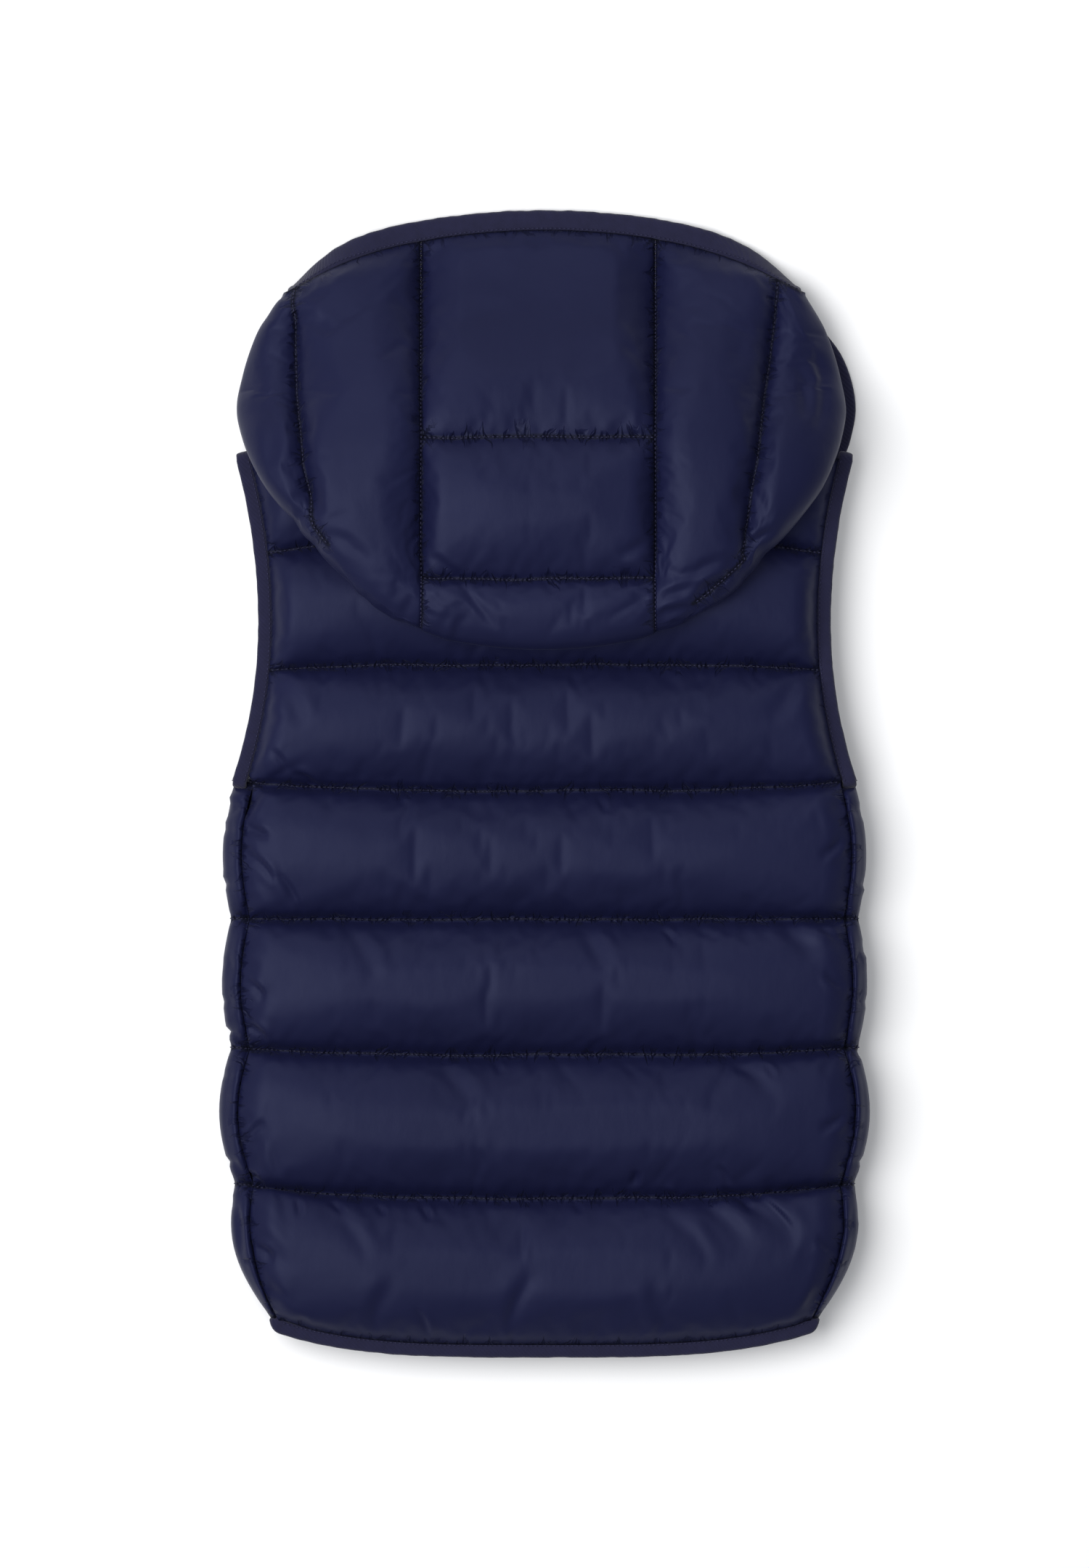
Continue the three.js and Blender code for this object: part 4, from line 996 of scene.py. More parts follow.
FRONT_FLAT = [0, 1.2, 2.5, 4.5, 7, 10, 13, 16]  # distances of the first columns from the zip edge
FRONT_MIDDLE = 46  # columns from there to the wrap
WRAP_TURNS = [-90, -75, -60, -45, -30, -18, -6, 6, 20, 35, 50, 64, 78, 92, 106, 120, 135, 150]  # degrees
FRONT_COLUMNS = len(FRONT_FLAT) + FRONT_MIDDLE + len(WRAP_TURNS)
EDGE_SPREAD = 9  # width that the wrap's columns take along an armhole
FLAT_BEFORE = {"seam": 8, "armhole": 15}  # where the flat part ends
FRONT_SEED = {"left": 211, "right": 311}
WRAP_STEP = 2.2  # roughly from one column of the wrap to the next
SIDES_ABOVE = FRONT_INSIDE - 8  # only the sides rise above this height
FRONT_DEPTHS = (-0.6, 2.4)  # the least and most that folds go into the fronts
Wrap = namedtuple("Wrap", "thin loft round corner_power flattened")
WRAP = Wrap(thin=3, loft=6.5, round=1.2, corner_power=0.8, flattened=1.3)
SEAM_TOP = {"in": 2.6, "out": 3.4}
INNER_TURN = (0.4, 0.7)  # where on the way the inner face starts and ends its turn upwards


def inner_turn(seam_x, k):
    """Inner face of the wrap: out along the back panel's underside, then up past its edge."""
    before, after = INNER_TURN
    share = k / len(WRAP_TURNS)
    if share <= before:
        return mix(seam_x - FLAT_BEFORE["seam"], seam_x - WRAP.round, share / before), FRONT_INSIDE
    if share <= after:
        turn = (share - before) / (after - before) * math.pi / 2
        x = seam_x - WRAP.round + WRAP.round * math.sin(turn)
        return x, FRONT_INSIDE + WRAP.round - WRAP.round * math.cos(turn)
    up = (share - after) / (1 - after)
    return seam_x, mix(FRONT_INSIDE + WRAP.round, BACK_INSIDE + SEAM_TOP["in"], up)


def front_section(side, i, place):
    """The inner and outer points of a row of the front: its flat part, and the wrap or the armhole's
    edge beyond it."""
    roll, t = place
    inward = past_underarm(place, "front_in")
    downward = past_underarm(place, "front_down")
    seam_x = back_edge(place, side) + 0.15
    half = outline_half(place)
    armhole = armhole_edge(place, FRONT_ARMHOLE_DEEPER)
    full = QUILT_LINES[roll].loft * min(1, WRAP.flattened * pillow(t))
    flat_end = mix(seam_x - FLAT_BEFORE["seam"], armhole - FLAT_BEFORE["armhole"], inward)
    flats = len(FRONT_FLAT) + FRONT_MIDDLE
    if i < flats:
        x = ZIP_EDGE + FRONT_FLAT[min(i, len(FRONT_FLAT) - 1)]
        if i >= len(FRONT_FLAT):
            x = mix(x, flat_end, (i - len(FRONT_FLAT) + 1) / (FRONT_MIDDLE + 1))
        depth = STITCHED + FRONT_LOFT * full * rise(x - ZIP_EDGE, ZIP_RISE)
        return (x, FRONT_INSIDE), (x, FRONT_INSIDE - depth)
    k = i - flats
    turn = math.radians(WRAP_TURNS[min(k, len(WRAP_TURNS) - 1)])
    down = STITCHED + FRONT_LOFT * full
    up = WRAP.thin + WRAP.loft * full
    lift = SIDE_LIFT * full * pillow(t)
    if k == len(WRAP_TURNS):
        wrap_out = (seam_x, BACK_INSIDE + SEAM_TOP["out"] + lift)
    elif turn <= 0:
        wrap_out = (
            flat_end + (half - flat_end) * signed_power(math.cos(turn), WRAP.corner_power),
            FRONT_INSIDE + down * signed_power(math.sin(turn), WRAP.corner_power),
        )
    else:
        middle = (half + seam_x) / 2
        near_seam = ease(60, 150, math.degrees(turn))
        z = FRONT_INSIDE + up * math.sin(turn)
        wrap_out = (middle + (half - middle) * math.cos(turn), z + lift * near_seam)
    edge_x = armhole - EDGE_SPREAD * (1 - k / len(WRAP_TURNS))
    edge_depth = STITCHED + FRONT_LOFT * full * rise(armhole - edge_x, EDGE_RISE)

    def shift(wrapped, flat):
        return mix(wrapped[0], flat[0], inward), mix(wrapped[1], flat[1], downward)

    inner = shift(inner_turn(seam_x, k), (edge_x, FRONT_INSIDE))
    return inner, shift(wrap_out, (edge_x, FRONT_INSIDE - edge_depth))


def front_panel(side):
    seed = FRONT_SEED[side]

    def cloth(face):
        def point(i, j):
            x, z = front_section(side, i, BODY_ROWS[j])[face]
            return (SIGN[side] * x, row_y(BODY_ROWS[j], x, "zip", FRONT_NECK_Y), z)

        return grid_of(FRONT_COLUMNS, LAST_ROW, point)

    inside, points = cloth(0), cloth(1)
    into = (inside - points) / np.maximum(np.linalg.norm(inside - points, axis=2, keepdims=True), 1e-6)
    from_seam = WRAP_STEP * np.arange(FRONT_COLUMNS, -1, -1)
    from_zip = np.abs(points[..., 0]) - ZIP_EDGE
    depth = body_puckers(points, seed)
    depth += puckers(points[..., 1], from_seam, seed + 50, FRONT_SIDE_PUCKERS)
    depth += puckers(points[..., 1], from_zip, seed + 51, ZIP_PUCKERS)
    depth += crease_depth(points, SIDE_CREASES) * (points[..., 2] > SIDES_ABOVE)
    points = points + into * np.clip(depth, *FRONT_DEPTHS)[..., None]
    points[..., 2] = np.maximum(points[..., 2], 0)
    outward = -into
    for row in LINE_ROWS[1:]:
        stitch_along(points[row], outward[row], skip=1)
    stitch_along(points[:, 2], outward[:, 2], skip=2)
    seams = [points[row] for row in LINE_ROWS] + [points[:, 0], points[:, -1]]
    outer = fine_tucks(cloth_mesh("front_outer", points), seams, seed + 1000, FRONT_TUCKS, quiet=1)
    inner = cloth_mesh("front_inner", inside)
    piece = padded_piece("front_" + side, outer, inner)
    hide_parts("front_panel_" + side)
    sew("front_" + side + "_stitches")


# Bindings of the hem and the armholes

Station = namedtuple("Station", "at out")


def run(count, curve, z, offset):
    """Stations along a plan curve at one height, each pushed out from the panel's edge."""
    stations = []
    for k in range(count + 1):
        at, ahead, behind = (Vector(curve(clamp(k / count + step))) for step in (0, 1e-3, -1e-3))
        along = (ahead - behind).normalized()
        out = Vector((along.y, -along.x, 0))
        stations.append(Station(Vector((at.x, at.y, z)) + out * offset, out))
    return stations


def swing(end, offset, degrees):
    """Stations that take a binding by degrees round a corner of the panel, at the end of a run."""
    corner = end.at - end.out * offset
    outs = [Matrix.Rotation(math.radians(degrees * k / 4), 3, "Z") @ end.out for k in range(1, 5)]
    return [Station(corner + out * offset, out) for out in outs]


def turn_over(end, direction, start, finish):
    """The half turn in which a binding folds from one layer to the other, beyond the end of a run."""
    stations = []
    for degrees in range(-75, 76, 15):
        turn = math.radians(degrees)
        at = end.at + direction * (BINDING_FOLD * math.cos(turn))
        at.z = mix(start, finish, (1 + math.sin(turn)) / 2)
        stations.append(Station(at, end.out))
    return stations


STRIP_SIDES = 16
STRIP_POWER = 0.6  # below 1 its section is squarer than an ellipse
STRIP_DRAW = 0.07  # share by which its stitches draw it in
LAP = 1.3  # how far a binding laps over the cloth's edge


def strip(name, stations, size, closed, seed):
    """A folded elastic strip along its stations, drawn in a little unevenly by its stitches."""
    count = len(stations) if closed else len(stations) - 1

    def at_step(k):
        return stations[k % len(stations)] if closed else stations[min(count, max(0, k))]

    def place(i, j):
        angle = 2 * math.pi * i / STRIP_SIDES
        at, out = at_step(j)
        along = (at_step(j + 1).at - at_step(j - 1).at).normalized()
        face = along.cross(out).normalized()
        drawn = 1 + STRIP_DRAW * unevenness(at.x + at.z, at.y, 5, seed) * (1 + math.cos(angle)) / 2
        reach = size.wide / 2 + (LAP if math.cos(angle) < 0 else 0)
        across = out * (signed_power(math.cos(angle), STRIP_POWER) * reach * drawn)
        through = face * (signed_power(math.sin(angle), STRIP_POWER) * size.thick / 2)
        return at + across + through

    flat = cloth_mesh(name, grid_of(STRIP_SIDES, count, place))
    form = bmesh.new()
    form.from_mesh(flat)
    bpy.data.meshes.remove(flat)
    bmesh.ops.remove_doubles(form, verts=form.verts, dist=1e-6)
    if not closed:
        bmesh.ops.holes_fill(form, edges=form.edges, sides=STRIP_SIDES + 1)
    bmesh.ops.recalc_face_normals(form, faces=form.faces)
    piece = new_piece(name, mesh_of(form, name))
    dress(piece, ELASTIC)
    return piece


def stitch_strip(stations, size, inset, face_sign):
    """A row of stitches near the inner edge of a folded strip, on one of its faces."""
    path, normals = [], []
    for k, (at, out) in enumerate(stations):
        ahead = stations[min(k + 1, len(stations) - 1)].at
        behind = stations[max(k - 1, 0)].at
        face = (ahead - behind).normalized().cross(out).normalized() * face_sign
        path.append(at - out * (size.wide / 2 + LAP - inset) + face * (size.thick / 2 * 0.98))
        normals.append(face)
    stitch_along(path, normals, lift=0.1)


ARMHOLE_ENDS = (ARMHOLE.base_y - 1, SHOULDER_TIP[1] - 1.5)
EDGE_STITCH_INSET = 1.5  # of its stitches, from its inner edge


def armhole_binding(side):
    sign = SIGN[side]

    def edge(deeper):
        def curve(t):
            y = mix(*ARMHOLE_ENDS, t)
            return (sign * armhole_line(y, deeper), y)

        return curve

    def outward(stations):
        turned = []
        for at, out in stations:
            facing = math.copysign(1, out.x) * sign
            turned.append(Station(at - out * (facing * EDGE_BINDING.wide / 2), out * facing))
        return turned

    upper, lower = BINDING_MIDDLE + BINDING_FOLD, BINDING_MIDDLE - BINDING_FOLD
    back = outward(run(90, edge(0), upper, 0))
    front = outward(run(90, edge(FRONT_ARMHOLE_DEEPER), lower, 0))[::-1]
    up = Vector((0, 1, 0))
    top = turn_over(back[-1], up, upper, lower)
    bottom = turn_over(front[-1], -up, lower, upper)
    name = "armhole_elastic_" + side
    piece = strip(name, back + top + front + bottom, EDGE_BINDING, True, 21)
    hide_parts("armhole_binding_" + side)
    for stations in (back, front):
        stitch_strip(stations, EDGE_BINDING, EDGE_STITCH_INSET, -sign)
    sew(name + "_stitches")


HEM_CORNER = QUILT_LINES[0].half - 7
HEM_SWING = 55  # degrees by which the binding turns up round each corner
HEM_FRONT = ZIP_EDGE + 0.5


def up_along(out, sign):
    """The direction up the side, square to out."""
    return Vector((-sign * out.y, sign * out.x, 0))


def hem_binding():
    def edge(middle):
        return lambda x: (x, row_y((0, 0.0), x, middle, 0))

    def between(middle, start, finish):
        return lambda t: edge(middle)(mix(start, finish, t))

    offset = SEAM_GAP + EDGE_BINDING.wide / 2
    upper, lower = BINDING_MIDDLE + BINDING_FOLD, BINDING_MIDDLE - BINDING_FOLD
    back = run(150, between("centre", -HEM_CORNER, HEM_CORNER), upper, offset)
    right = run(75, between("zip", HEM_FRONT, HEM_CORNER), lower, offset)[::-1]
    left = run(75, between("zip", -HEM_CORNER, -HEM_FRONT), lower, offset)[::-1]
    back = swing(back[0], offset, -HEM_SWING)[::-1] + back + swing(back[-1], offset, HEM_SWING)
    right = swing(right[0], offset, HEM_SWING)[::-1] + right
    left = left + swing(left[-1], offset, -HEM_SWING)
    right_turn = turn_over(back[-1], up_along(back[-1].out, 1), upper, lower)
    left_turn = turn_over(back[0], up_along(back[0].out, -1), upper, lower)[::-1]
    stations = left + left_turn + back + right_turn + right
    piece = strip("hem_elastic", stations, EDGE_BINDING, False, 31)
    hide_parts("hem_binding")
    for stations in (back, right, left):
        stitch_strip(stations, EDGE_BINDING, EDGE_STITCH_INSET, -1)
    sew("hem_stitches")


# Hood


def hood_drape(y):
    """Height of the upper layer's inner face along the middle: over the body, then down to the table."""
    return mix(HOOD_DRAPE.over_body, HOOD_DRAPE.on_table, ease(HOOD_DRAPE.start, HOOD_DRAPE.end, y))


def fold_foot(y):
    """Height of the lowest point of the hood's fold, eased over a finger's width."""
    return sum(from_table(FOLD_FEET, y + step) for step in range(-16, 17, 4)) / 9


def hood_inside(x, y):
    """Height of the upper layer's plain inner face, before the fold rounds it down."""
    out = clamp((abs(x) - HOOD_SIDEWAYS.start) / HOOD_SIDEWAYS.over) ** HOOD_SIDEWAYS.power
    return mix(hood_drape(y), fold_foot(y) + FOLD.top, ease(0, 1, out))


def fold_point(start, end, along, lift):
    """A point of the inner face along a rib: 0 at its start, 1 at the fold, 2 where it has tucked
    under."""
    long = (end - start).length
    plan = start.lerp(end, min(1, along))
    middle = fold_foot(end.y) + FOLD.middle
    if along <= 1:
        over = min(FOLD.round, 0.85 * long)
        off = clamp((1 - along) * long / over)
        drop = 1 - math.sqrt(max(0, 1 - (1 - off) ** 2))
        return Vector((plan.x, plan.y + lift, mix(hood_inside(plan.x, plan.y + lift), middle, drop)))
    turn = (along - 1) * math.radians(FOLD.turn)
    tucked = end + (start - end).normalized() * (FOLD.under * (1 - math.cos(turn)))
    return Vector((tucked.x, tucked.y, middle - FOLD.down * math.sin(turn)))


def rib_lift(bow, share):
    """How far a rib bows up in plan, so far along it."""
    return bow * 4 * share * (1 - share) if share < 1 else 0


def fold_thickness(along):
    """Thickness of the wall at the fold, and thinner as it tucks under."""
    return mix(FOLD.pad, HOOD_EDGE, ease(1, 2, along) ** 0.7)


def hood_top(x):
    return HOOD_TOP_Y - HOOD_TOP_BEND * x * x


def hood_bottom(x):
    return HOOD_BOTTOM_Y + HOOD_BOTTOM_BEND * x * x


def hood_panel_top(x):
    """Where the strip ends, below the hood's binding."""
    return hood_top(x) - HOOD_BINDING.wide - SEAM_GAP


def steps(start, finish, count):
    """Evenly spaced values after start, up to and with finish."""
    return [mix(start, finish, k / count) for k in range(1, count + 1)]


def stand_off(inside, thickness, outward, edges):
    """The outer face of a padded wall: thickness off the inner one, and square to the cut edges,
    each a row or column of the grid and the direction out of it."""
    normals = normals_of(inside)
    for cut, edge_out in edges:
        edge_out = np.array(edge_out)
        square = normals[cut] - (normals[cut] @ edge_out)[..., None] * edge_out
        length = np.linalg.norm(square, axis=-1, keepdims=True)
        normals[cut] = np.where(length > 0.2, square / np.maximum(length, 1e-9), normals[cut])
    return inside + outward * normals * thickness[..., None]


HOOD_MIDDLE_COLUMNS = 50
HOOD_BLOCK_ROWS = (38, 27)
HOOD_ROUND = steps(0, 1, 16) + steps(1, 2, 8)  # how far round the fold each row of the last block lies
HOOD_ROUND_SEEN = 17  # of these rows, the ones that show
HOOD_HALF_GAP = SEAM_GAP / 6  # half the space at the hood's long seams, where soft pieces meet
HOOD_SEAM_STRAY = 1.6  # how far a cross seam strays from straight


def hood_middle():
    left = HOOD_SEAM["left"] + HOOD_HALF_GAP
    right = HOOD_SEAM["right"] - HOOD_HALF_GAP
    blocks = [(None, HOOD_CROSS_SEAMS[0], HOOD_BLOCK_ROWS[0]), (*HOOD_CROSS_SEAMS, HOOD_BLOCK_ROWS[1])]
    flat = [(start, end, k / count) for start, end, count in blocks for k in range(count)]
    round_fold = [0.0] + HOOD_ROUND
    rows = len(flat) + len(round_fold) - 1

    def column_x(i):
        return mix(left, right, i / HOOD_MIDDLE_COLUMNS)

    def seam_stray(x, seam_y):
        return HOOD_SEAM_STRAY * unevenness(x, seam_y, 30, 9)

    def inside(i, j):
        x = column_x(i)
        if j < len(flat):
            start, end, t = flat[j]
            low = end + seam_stray(x, end)
            high = hood_panel_top(x) if start is None else start + seam_stray(x, start)
            y = mix(high, low, t)
            return (x, y, hood_inside(x, y))
        start = Vector((x, HOOD_CROSS_SEAMS[1] + seam_stray(x, HOOD_CROSS_SEAMS[1])))
        end = Vector((x, hood_bottom(x) + FOLD.pad))
        return fold_point(start, end, round_fold[j - len(flat)], 0)

    def thickness(i, j):
        x = column_x(i)
        side = rise(min(x - left, right - x), HOOD_SEAM_RISE)
        uneven = 1 + 0.08 * unevenness(x, 3 * j, 45, 12)
        if j < len(flat):
            return HOOD_STITCHED + HOOD_LOFT * START_FULL * uneven * pillow(flat[j][2]) * side
        along = round_fold[j - len(flat)]
        from_line = along * (HOOD_CROSS_SEAMS[1] - HOOD_BOTTOM_Y - FOLD.pad)
        pad = (fold_thickness(along) - HOOD_EDGE) * rise(from_line, HOOD_FACE_RISE)
        return mix(HOOD_STITCHED, HOOD_EDGE, clamp(along - 1)) + pad * mix(FOLD_AT_SEAM, 1, side)

    inner = grid_of(HOOD_MIDDLE_COLUMNS, rows, inside)
    thick = grid_of(HOOD_MIDDLE_COLUMNS, rows, thickness)
    cuts = [(np.s_[0], (0, 1, 0)), (np.s_[:, 0], (1, 0, 0)), (np.s_[:, -1], (1, 0, 0))]
    points = stand_off(inner, thick, -1, cuts)
    normals = -normals_of(points)
    line_rows = [0, HOOD_BLOCK_ROWS[0], len(flat)]
    depth = np.zeros(points.shape[:2])
    for k, row in enumerate(line_rows):
        depth += puckers(points[..., 0], np.abs(points[..., 1] - points[row, :, 1]), 411 + k)
    for k, column in enumerate((0, -1)):
        away = np.abs(points[..., 0] - points[:, column, 0][:, None])
        depth += puckers(points[..., 1], away, 421 + k)
    depth += crease_depth(points, HOOD_MIDDLE_CREASES)
    points = points - normals * depth[..., None]
    sewn = np.zeros(points.shape[:2], bool)
    sewn[:, [0, -1]] = True
    sewn[line_rows] = True
    seen = slice(len(flat) + HOOD_ROUND_SEEN)
    sewn[seen.stop :] = True
    points = blow_up(points, sewn, HOOD_FILLING, -1)
    normals = -normals_of(points)
    for row in line_rows[1:]:
        stitch_along(points[row], normals[row], skip=1)
    for column in (0, -1):
        stitch_along(points[seen, column], normals[seen, column], skip=1)
    seams = [points[row] for row in line_rows] + [points[seen, column] for column in (0, -1)]
    lines = np.zeros_like(sewn)
    lines[line_rows] = True
    outer = fine_tucks(refined(cloth_mesh("hood_outer", points), lines), seams, 1400)
    inner = refined(cloth_mesh("hood_inner", inner))
    piece = padded_piece("hood_strip", outer, inner)
    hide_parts("hood_middle")
    sew("hood_strip_stitches")


def spline_point(places, t):
    """A point at t along a smooth curve through the places."""
    last = len(places) - 1
    at = last * t
    k = min(int(at), last)
    before, here, after, beyond = (Vector(places[min(last, max(0, k + step))]) for step in (-1, 0, 1, 2))
    if k == 0:
        before = here
    u = at - k
    leave, arrive = (after - before) / 2, (beyond - here) / 2
    cubic = (here - after) * 2 + leave + arrive
    square = (after - here) * 3 - leave * 2 - arrive
    return cubic * u**3 + square * u**2 + leave * u + here


HOOD_SIDE_ROWS = 92
HOOD_SIDE_INNER = 24  # columns from the seam to the quilting line
HOOD_SIDE_OUTER = 20  # from there to the fold
HOOD_SIDE_UNDER = 7  # and round it
HOOD_SIDE_FOLD = HOOD_SIDE_INNER + HOOD_SIDE_OUTER
HOOD_SIDE_EDGE = 190  # roughly the length down the side
HOOD_SIDE_SEED = {"left": 511, "right": 611}
FOLD_CORNER = 26  # over which the fold fills out below the hood's face edge
FOLD_TUCK = {"left": 0, "right": 4}  # how far the fold's upper part is drawn in
FOLD_SWELL = 1.4  # what the blown-up padding adds at the fold
LINE_LIMIT = 0.97  # the quilting line keeps this far short of the fold
LINE_END = {"left": 0.78, "right": 0.92}  # where on the way round it runs off the fold
Rib = namedtuple("Rib", "v start end bow")


def hood_ribs(side):
    """The ribs of a side panel fan out from its seam to the fold, from the face edge to the bottom."""
    seam_x = abs(HOOD_SEAM[side]) + HOOD_HALF_GAP
    ribs = []

    def fold_end(v):
        at = v * FOLD_OUTLINE_END[side]
        edge = spline_point(FOLD_OUTLINE, at)
        behind, ahead = (spline_point(FOLD_OUTLINE, clamp(at + step)) for step in (-0.01, 0.01))
        along = (ahead - behind).normalized()
        inward = Vector((along.y, -along.x))
        tuck = FOLD_TUCK[side] * math.sin(math.pi * clamp(v / 0.6))
        full = swell(v * HOOD_SIDE_EDGE, FOLD_CORNER)
        return edge + inward * (mix(HOOD_STITCHED, FOLD.pad + FOLD_SWELL, full) + tuck)

    to_strip = Vector((seam_x, hood_bottom(seam_x) + FOLD.pad)) - fold_end(1)
    for j in range(HOOD_SIDE_ROWS + 1):
        v = j / HOOD_SIDE_ROWS
        end = fold_end(v) + to_strip * ease(0.7, 1, v)
        start = Vector((seam_x, mix(hood_panel_top(seam_x), FOLD_START_Y, v**0.8)))
        ribs.append(Rib(v, start, end, 4 * (1 - v) ** 2 - 3 * v * (1 - v)))
    return ribs


def line_share(side, rib):
    """Where the quilting line crosses a rib, as a share of the way out from the seam."""
    heights, reaches = zip(*HOOD_SIDE_LINE[side])
    low, high = 0.2, LINE_LIMIT
    for _ in range(20):
        share = (low + high) / 2
        place = rib.start.lerp(rib.end, share)
        line_x = np.interp(place.y + rib_lift(rib.bow, share), heights, reaches)
        if place.x < line_x:
            low = share
        else:
            high = share
    return share


def side_share(i, line):
    """How far along its rib a column lies: 0 at the seam, line on the quilting line, 1 at the fold."""
    if i < HOOD_SIDE_INNER:
        return i / HOOD_SIDE_INNER * line
    if i < HOOD_SIDE_FOLD:
        return mix(line, 1, (i - HOOD_SIDE_INNER) / HOOD_SIDE_OUTER)
    return 1 + (i - HOOD_SIDE_FOLD) / HOOD_SIDE_UNDER


def hood_side(side):
    sign = SIGN[side]
    columns = HOOD_SIDE_FOLD + HOOD_SIDE_UNDER
    ribs = hood_ribs(side)
    line_shares = [line_share(side, rib) for rib in ribs]

    def inside(i, j):
        _, start, end, bow = ribs[j]
        share = side_share(i, line_shares[j])
        point = fold_point(start, end, share, rib_lift(bow, share))
        return (sign * point.x, point.y, point.z)

    def thickness(i, j):
        v, start, end, _ = ribs[j]
        line = line_shares[j]
        share = side_share(i, line)
        long = (end - start).length
        here = start.lerp(end, min(1, share))
        below_line = rise(max(0, HOOD_CROSS_SEAMS[1] - here.y), HOOD_FACE_RISE)
        line_depth = mix(0.9, 0.1, ease(0.88, LINE_LIMIT, line))
        near_line = 1 - line_depth * (1 - rise(abs(share - line) * long, HOOD_LINE_RISE))
        from_seam = rise(here.x - start.x, HOOD_SEAM_RISE)
        near_seam = mix(from_seam, mix(FOLD_AT_SEAM, 1, from_seam), below_line * v**3)
        at_edge = rise(v * HOOD_SIDE_EDGE, HOOD_FACE_RISE)
        at_fold = swell(v * HOOD_SIDE_EDGE, FOLD_CORNER)
        near_face = mix(mix(at_edge, at_fold, ease(0.6, 1, share)), 1, clamp(share - 1))
        pad = fold_thickness(share) - HOOD_EDGE if share > 1 else mix(HOOD_LOFT, FOLD.pad - HOOD_EDGE, v)
        return mix(HOOD_STITCHED, HOOD_EDGE, clamp(share - 1)) + pad * near_seam * near_line * near_face

    inner = grid_of(columns, HOOD_SIDE_ROWS, inside)
    thick = grid_of(columns, HOOD_SIDE_ROWS, thickness)
    face_edge = (ribs[0].end - ribs[0].start).normalized()
    face_out = (-sign * face_edge.y, face_edge.x, 0)
    cuts = [(np.s_[0], face_out), (np.s_[:, 0], (1, 0, 0)), (np.s_[-1], (1, 0, 0))]
    points = stand_off(inner, thick, -sign, cuts)
    normals = -sign * normals_of(points)
    lengths = np.array([(rib.end - rib.start).length for rib in ribs])[:, None]
    shares = np.array([[side_share(i, line) for i in range(columns + 1)] for line in line_shares])
    lines = np.array(line_shares)[:, None]
    along = np.broadcast_to(np.array([[rib.v * HOOD_SIDE_EDGE] for rib in ribs]), shares.shape)
    seed = HOOD_SIDE_SEED[side]
    depth = puckers(along, shares * lengths, seed)
    depth += puckers(along, np.abs(shares - lines) * lengths, seed + 1)
    depth += puckers(shares * lengths, along, seed + 2)
    depth += crease_depth(points, HOOD_SIDE_CREASES[side])
    fade = np.clip(2 - shares, 0, 1)
    points = points - normals * (depth * fade)[..., None]
    sewn = np.zeros(points.shape[:2], bool)
    sewn[:, 0] = True
    sewn[[0, -1]] = True
    sewn[:, HOOD_SIDE_INNER] = lines[:, 0] < 0.9
    sewn[:, HOOD_SIDE_FOLD + 2 :] = True
    points = blow_up(points, sewn, HOOD_FILLING, -sign)
    normals = -sign * normals_of(points)
    line_rows = slice(0, int(LINE_END[side] * HOOD_SIDE_ROWS) + 1)
    stitch_along(points[line_rows, HOOD_SIDE_INNER], normals[line_rows, HOOD_SIDE_INNER], skip=1)
    seams = [points[line_rows, HOOD_SIDE_INNER], points[0, :HOOD_SIDE_FOLD], points[:, 0]]
    on_line = np.zeros_like(sewn)
    on_line[line_rows, HOOD_SIDE_INNER] = True
    outer = fine_tucks(refined(cloth_mesh("side_outer", points), on_line), seams, 1500)
    inner = refined(cloth_mesh("side_inner", inner))
    piece = padded_piece("hood_" + side, outer, inner)
    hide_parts("hood_side_" + side)
    sew("hood_" + side + "_stitches")


HOOD_MIDDLE_CREASES = [
    Crease(57, 134, 40, 126, 1.8, 3),
    Crease(-50, 250, -20, 262, 0.9, 6),
    Crease(10, 225, 40, 240, 0.9, 7),
    Crease(-57, 84, -50, 84, -1.6, 4),
    Crease(-64, 126, -46, 112, 1.6, 2.5),
]
HOOD_SIDE_CREASES = {
    "left": [
        Crease(-140, 262, -118, 246, 1.8, 4),
        Crease(-152, 215, -150, 175, 2.2, 4.5),
        Crease(-120, 140, -96, 122, 1.8, 4),
        Crease(-84, 112, -74, 92, 1.4, 4),
    ],
    "right": [
        Crease(148, 246, 150, 190, 2.6, 4.5),
        Crease(140, 232, 142, 200, 1.8, 4),
        Crease(112, 122, 84, 104, 2.2, 4),
        Crease(98, 126, 72, 112, 1.8, 4),
        Crease(110, 250, 96, 216, 1.2, 7),
        Crease(61, 90.5, 82, 98, 2.2, 2.4),
        Crease(80, 97, 101, 117, 2.2, 2.4),
        Crease(99, 115, 126, 141, 1.8, 2.6),
        Crease(62, 100, 94, 111, 1.6, 2.8),
    ],
}

# Where the hood's binding runs on past the folds, flat on the table: x, y, z and its direction
BINDING_UNDER = {
    "left": [
        (138.5, 262, 4.5, 0.5),
        (146, 250, 2.5, 0.25),
        (157, 232, 2.5, 0.1),
        (158, 214, 2.5, -0.1),
        (155, 200, 2.5, -0.3),
    ],
    "right": [
        (138.5, 262, 4.5, 0.5),
        (146, 250, 2.5, 0.3),
        (157, 235, 2.5, 0.3),
        (163, 220, 2.5, 0.2),
        (165, 206, 2.5, -0.1),
        (162.8, 193, 2.5, -0.35),
        (160.8, 186.5, 2.5, -0.45),
        (157, 179.5, 2.5, -0.5),
    ],
}
FACE_SHARES = steps(0, 1, 26)
FACE_STEP = 0.03  # either side of a place, for the direction of the edge there
STRIP_STATIONS = 24  # across the middle strip
HOOD_STITCH_INSET = 1.8
# Where along the side panel's edge the binding starts and stops turning down, and by how many degrees
BINDING_TURN = (0.3, 1.0, 84)


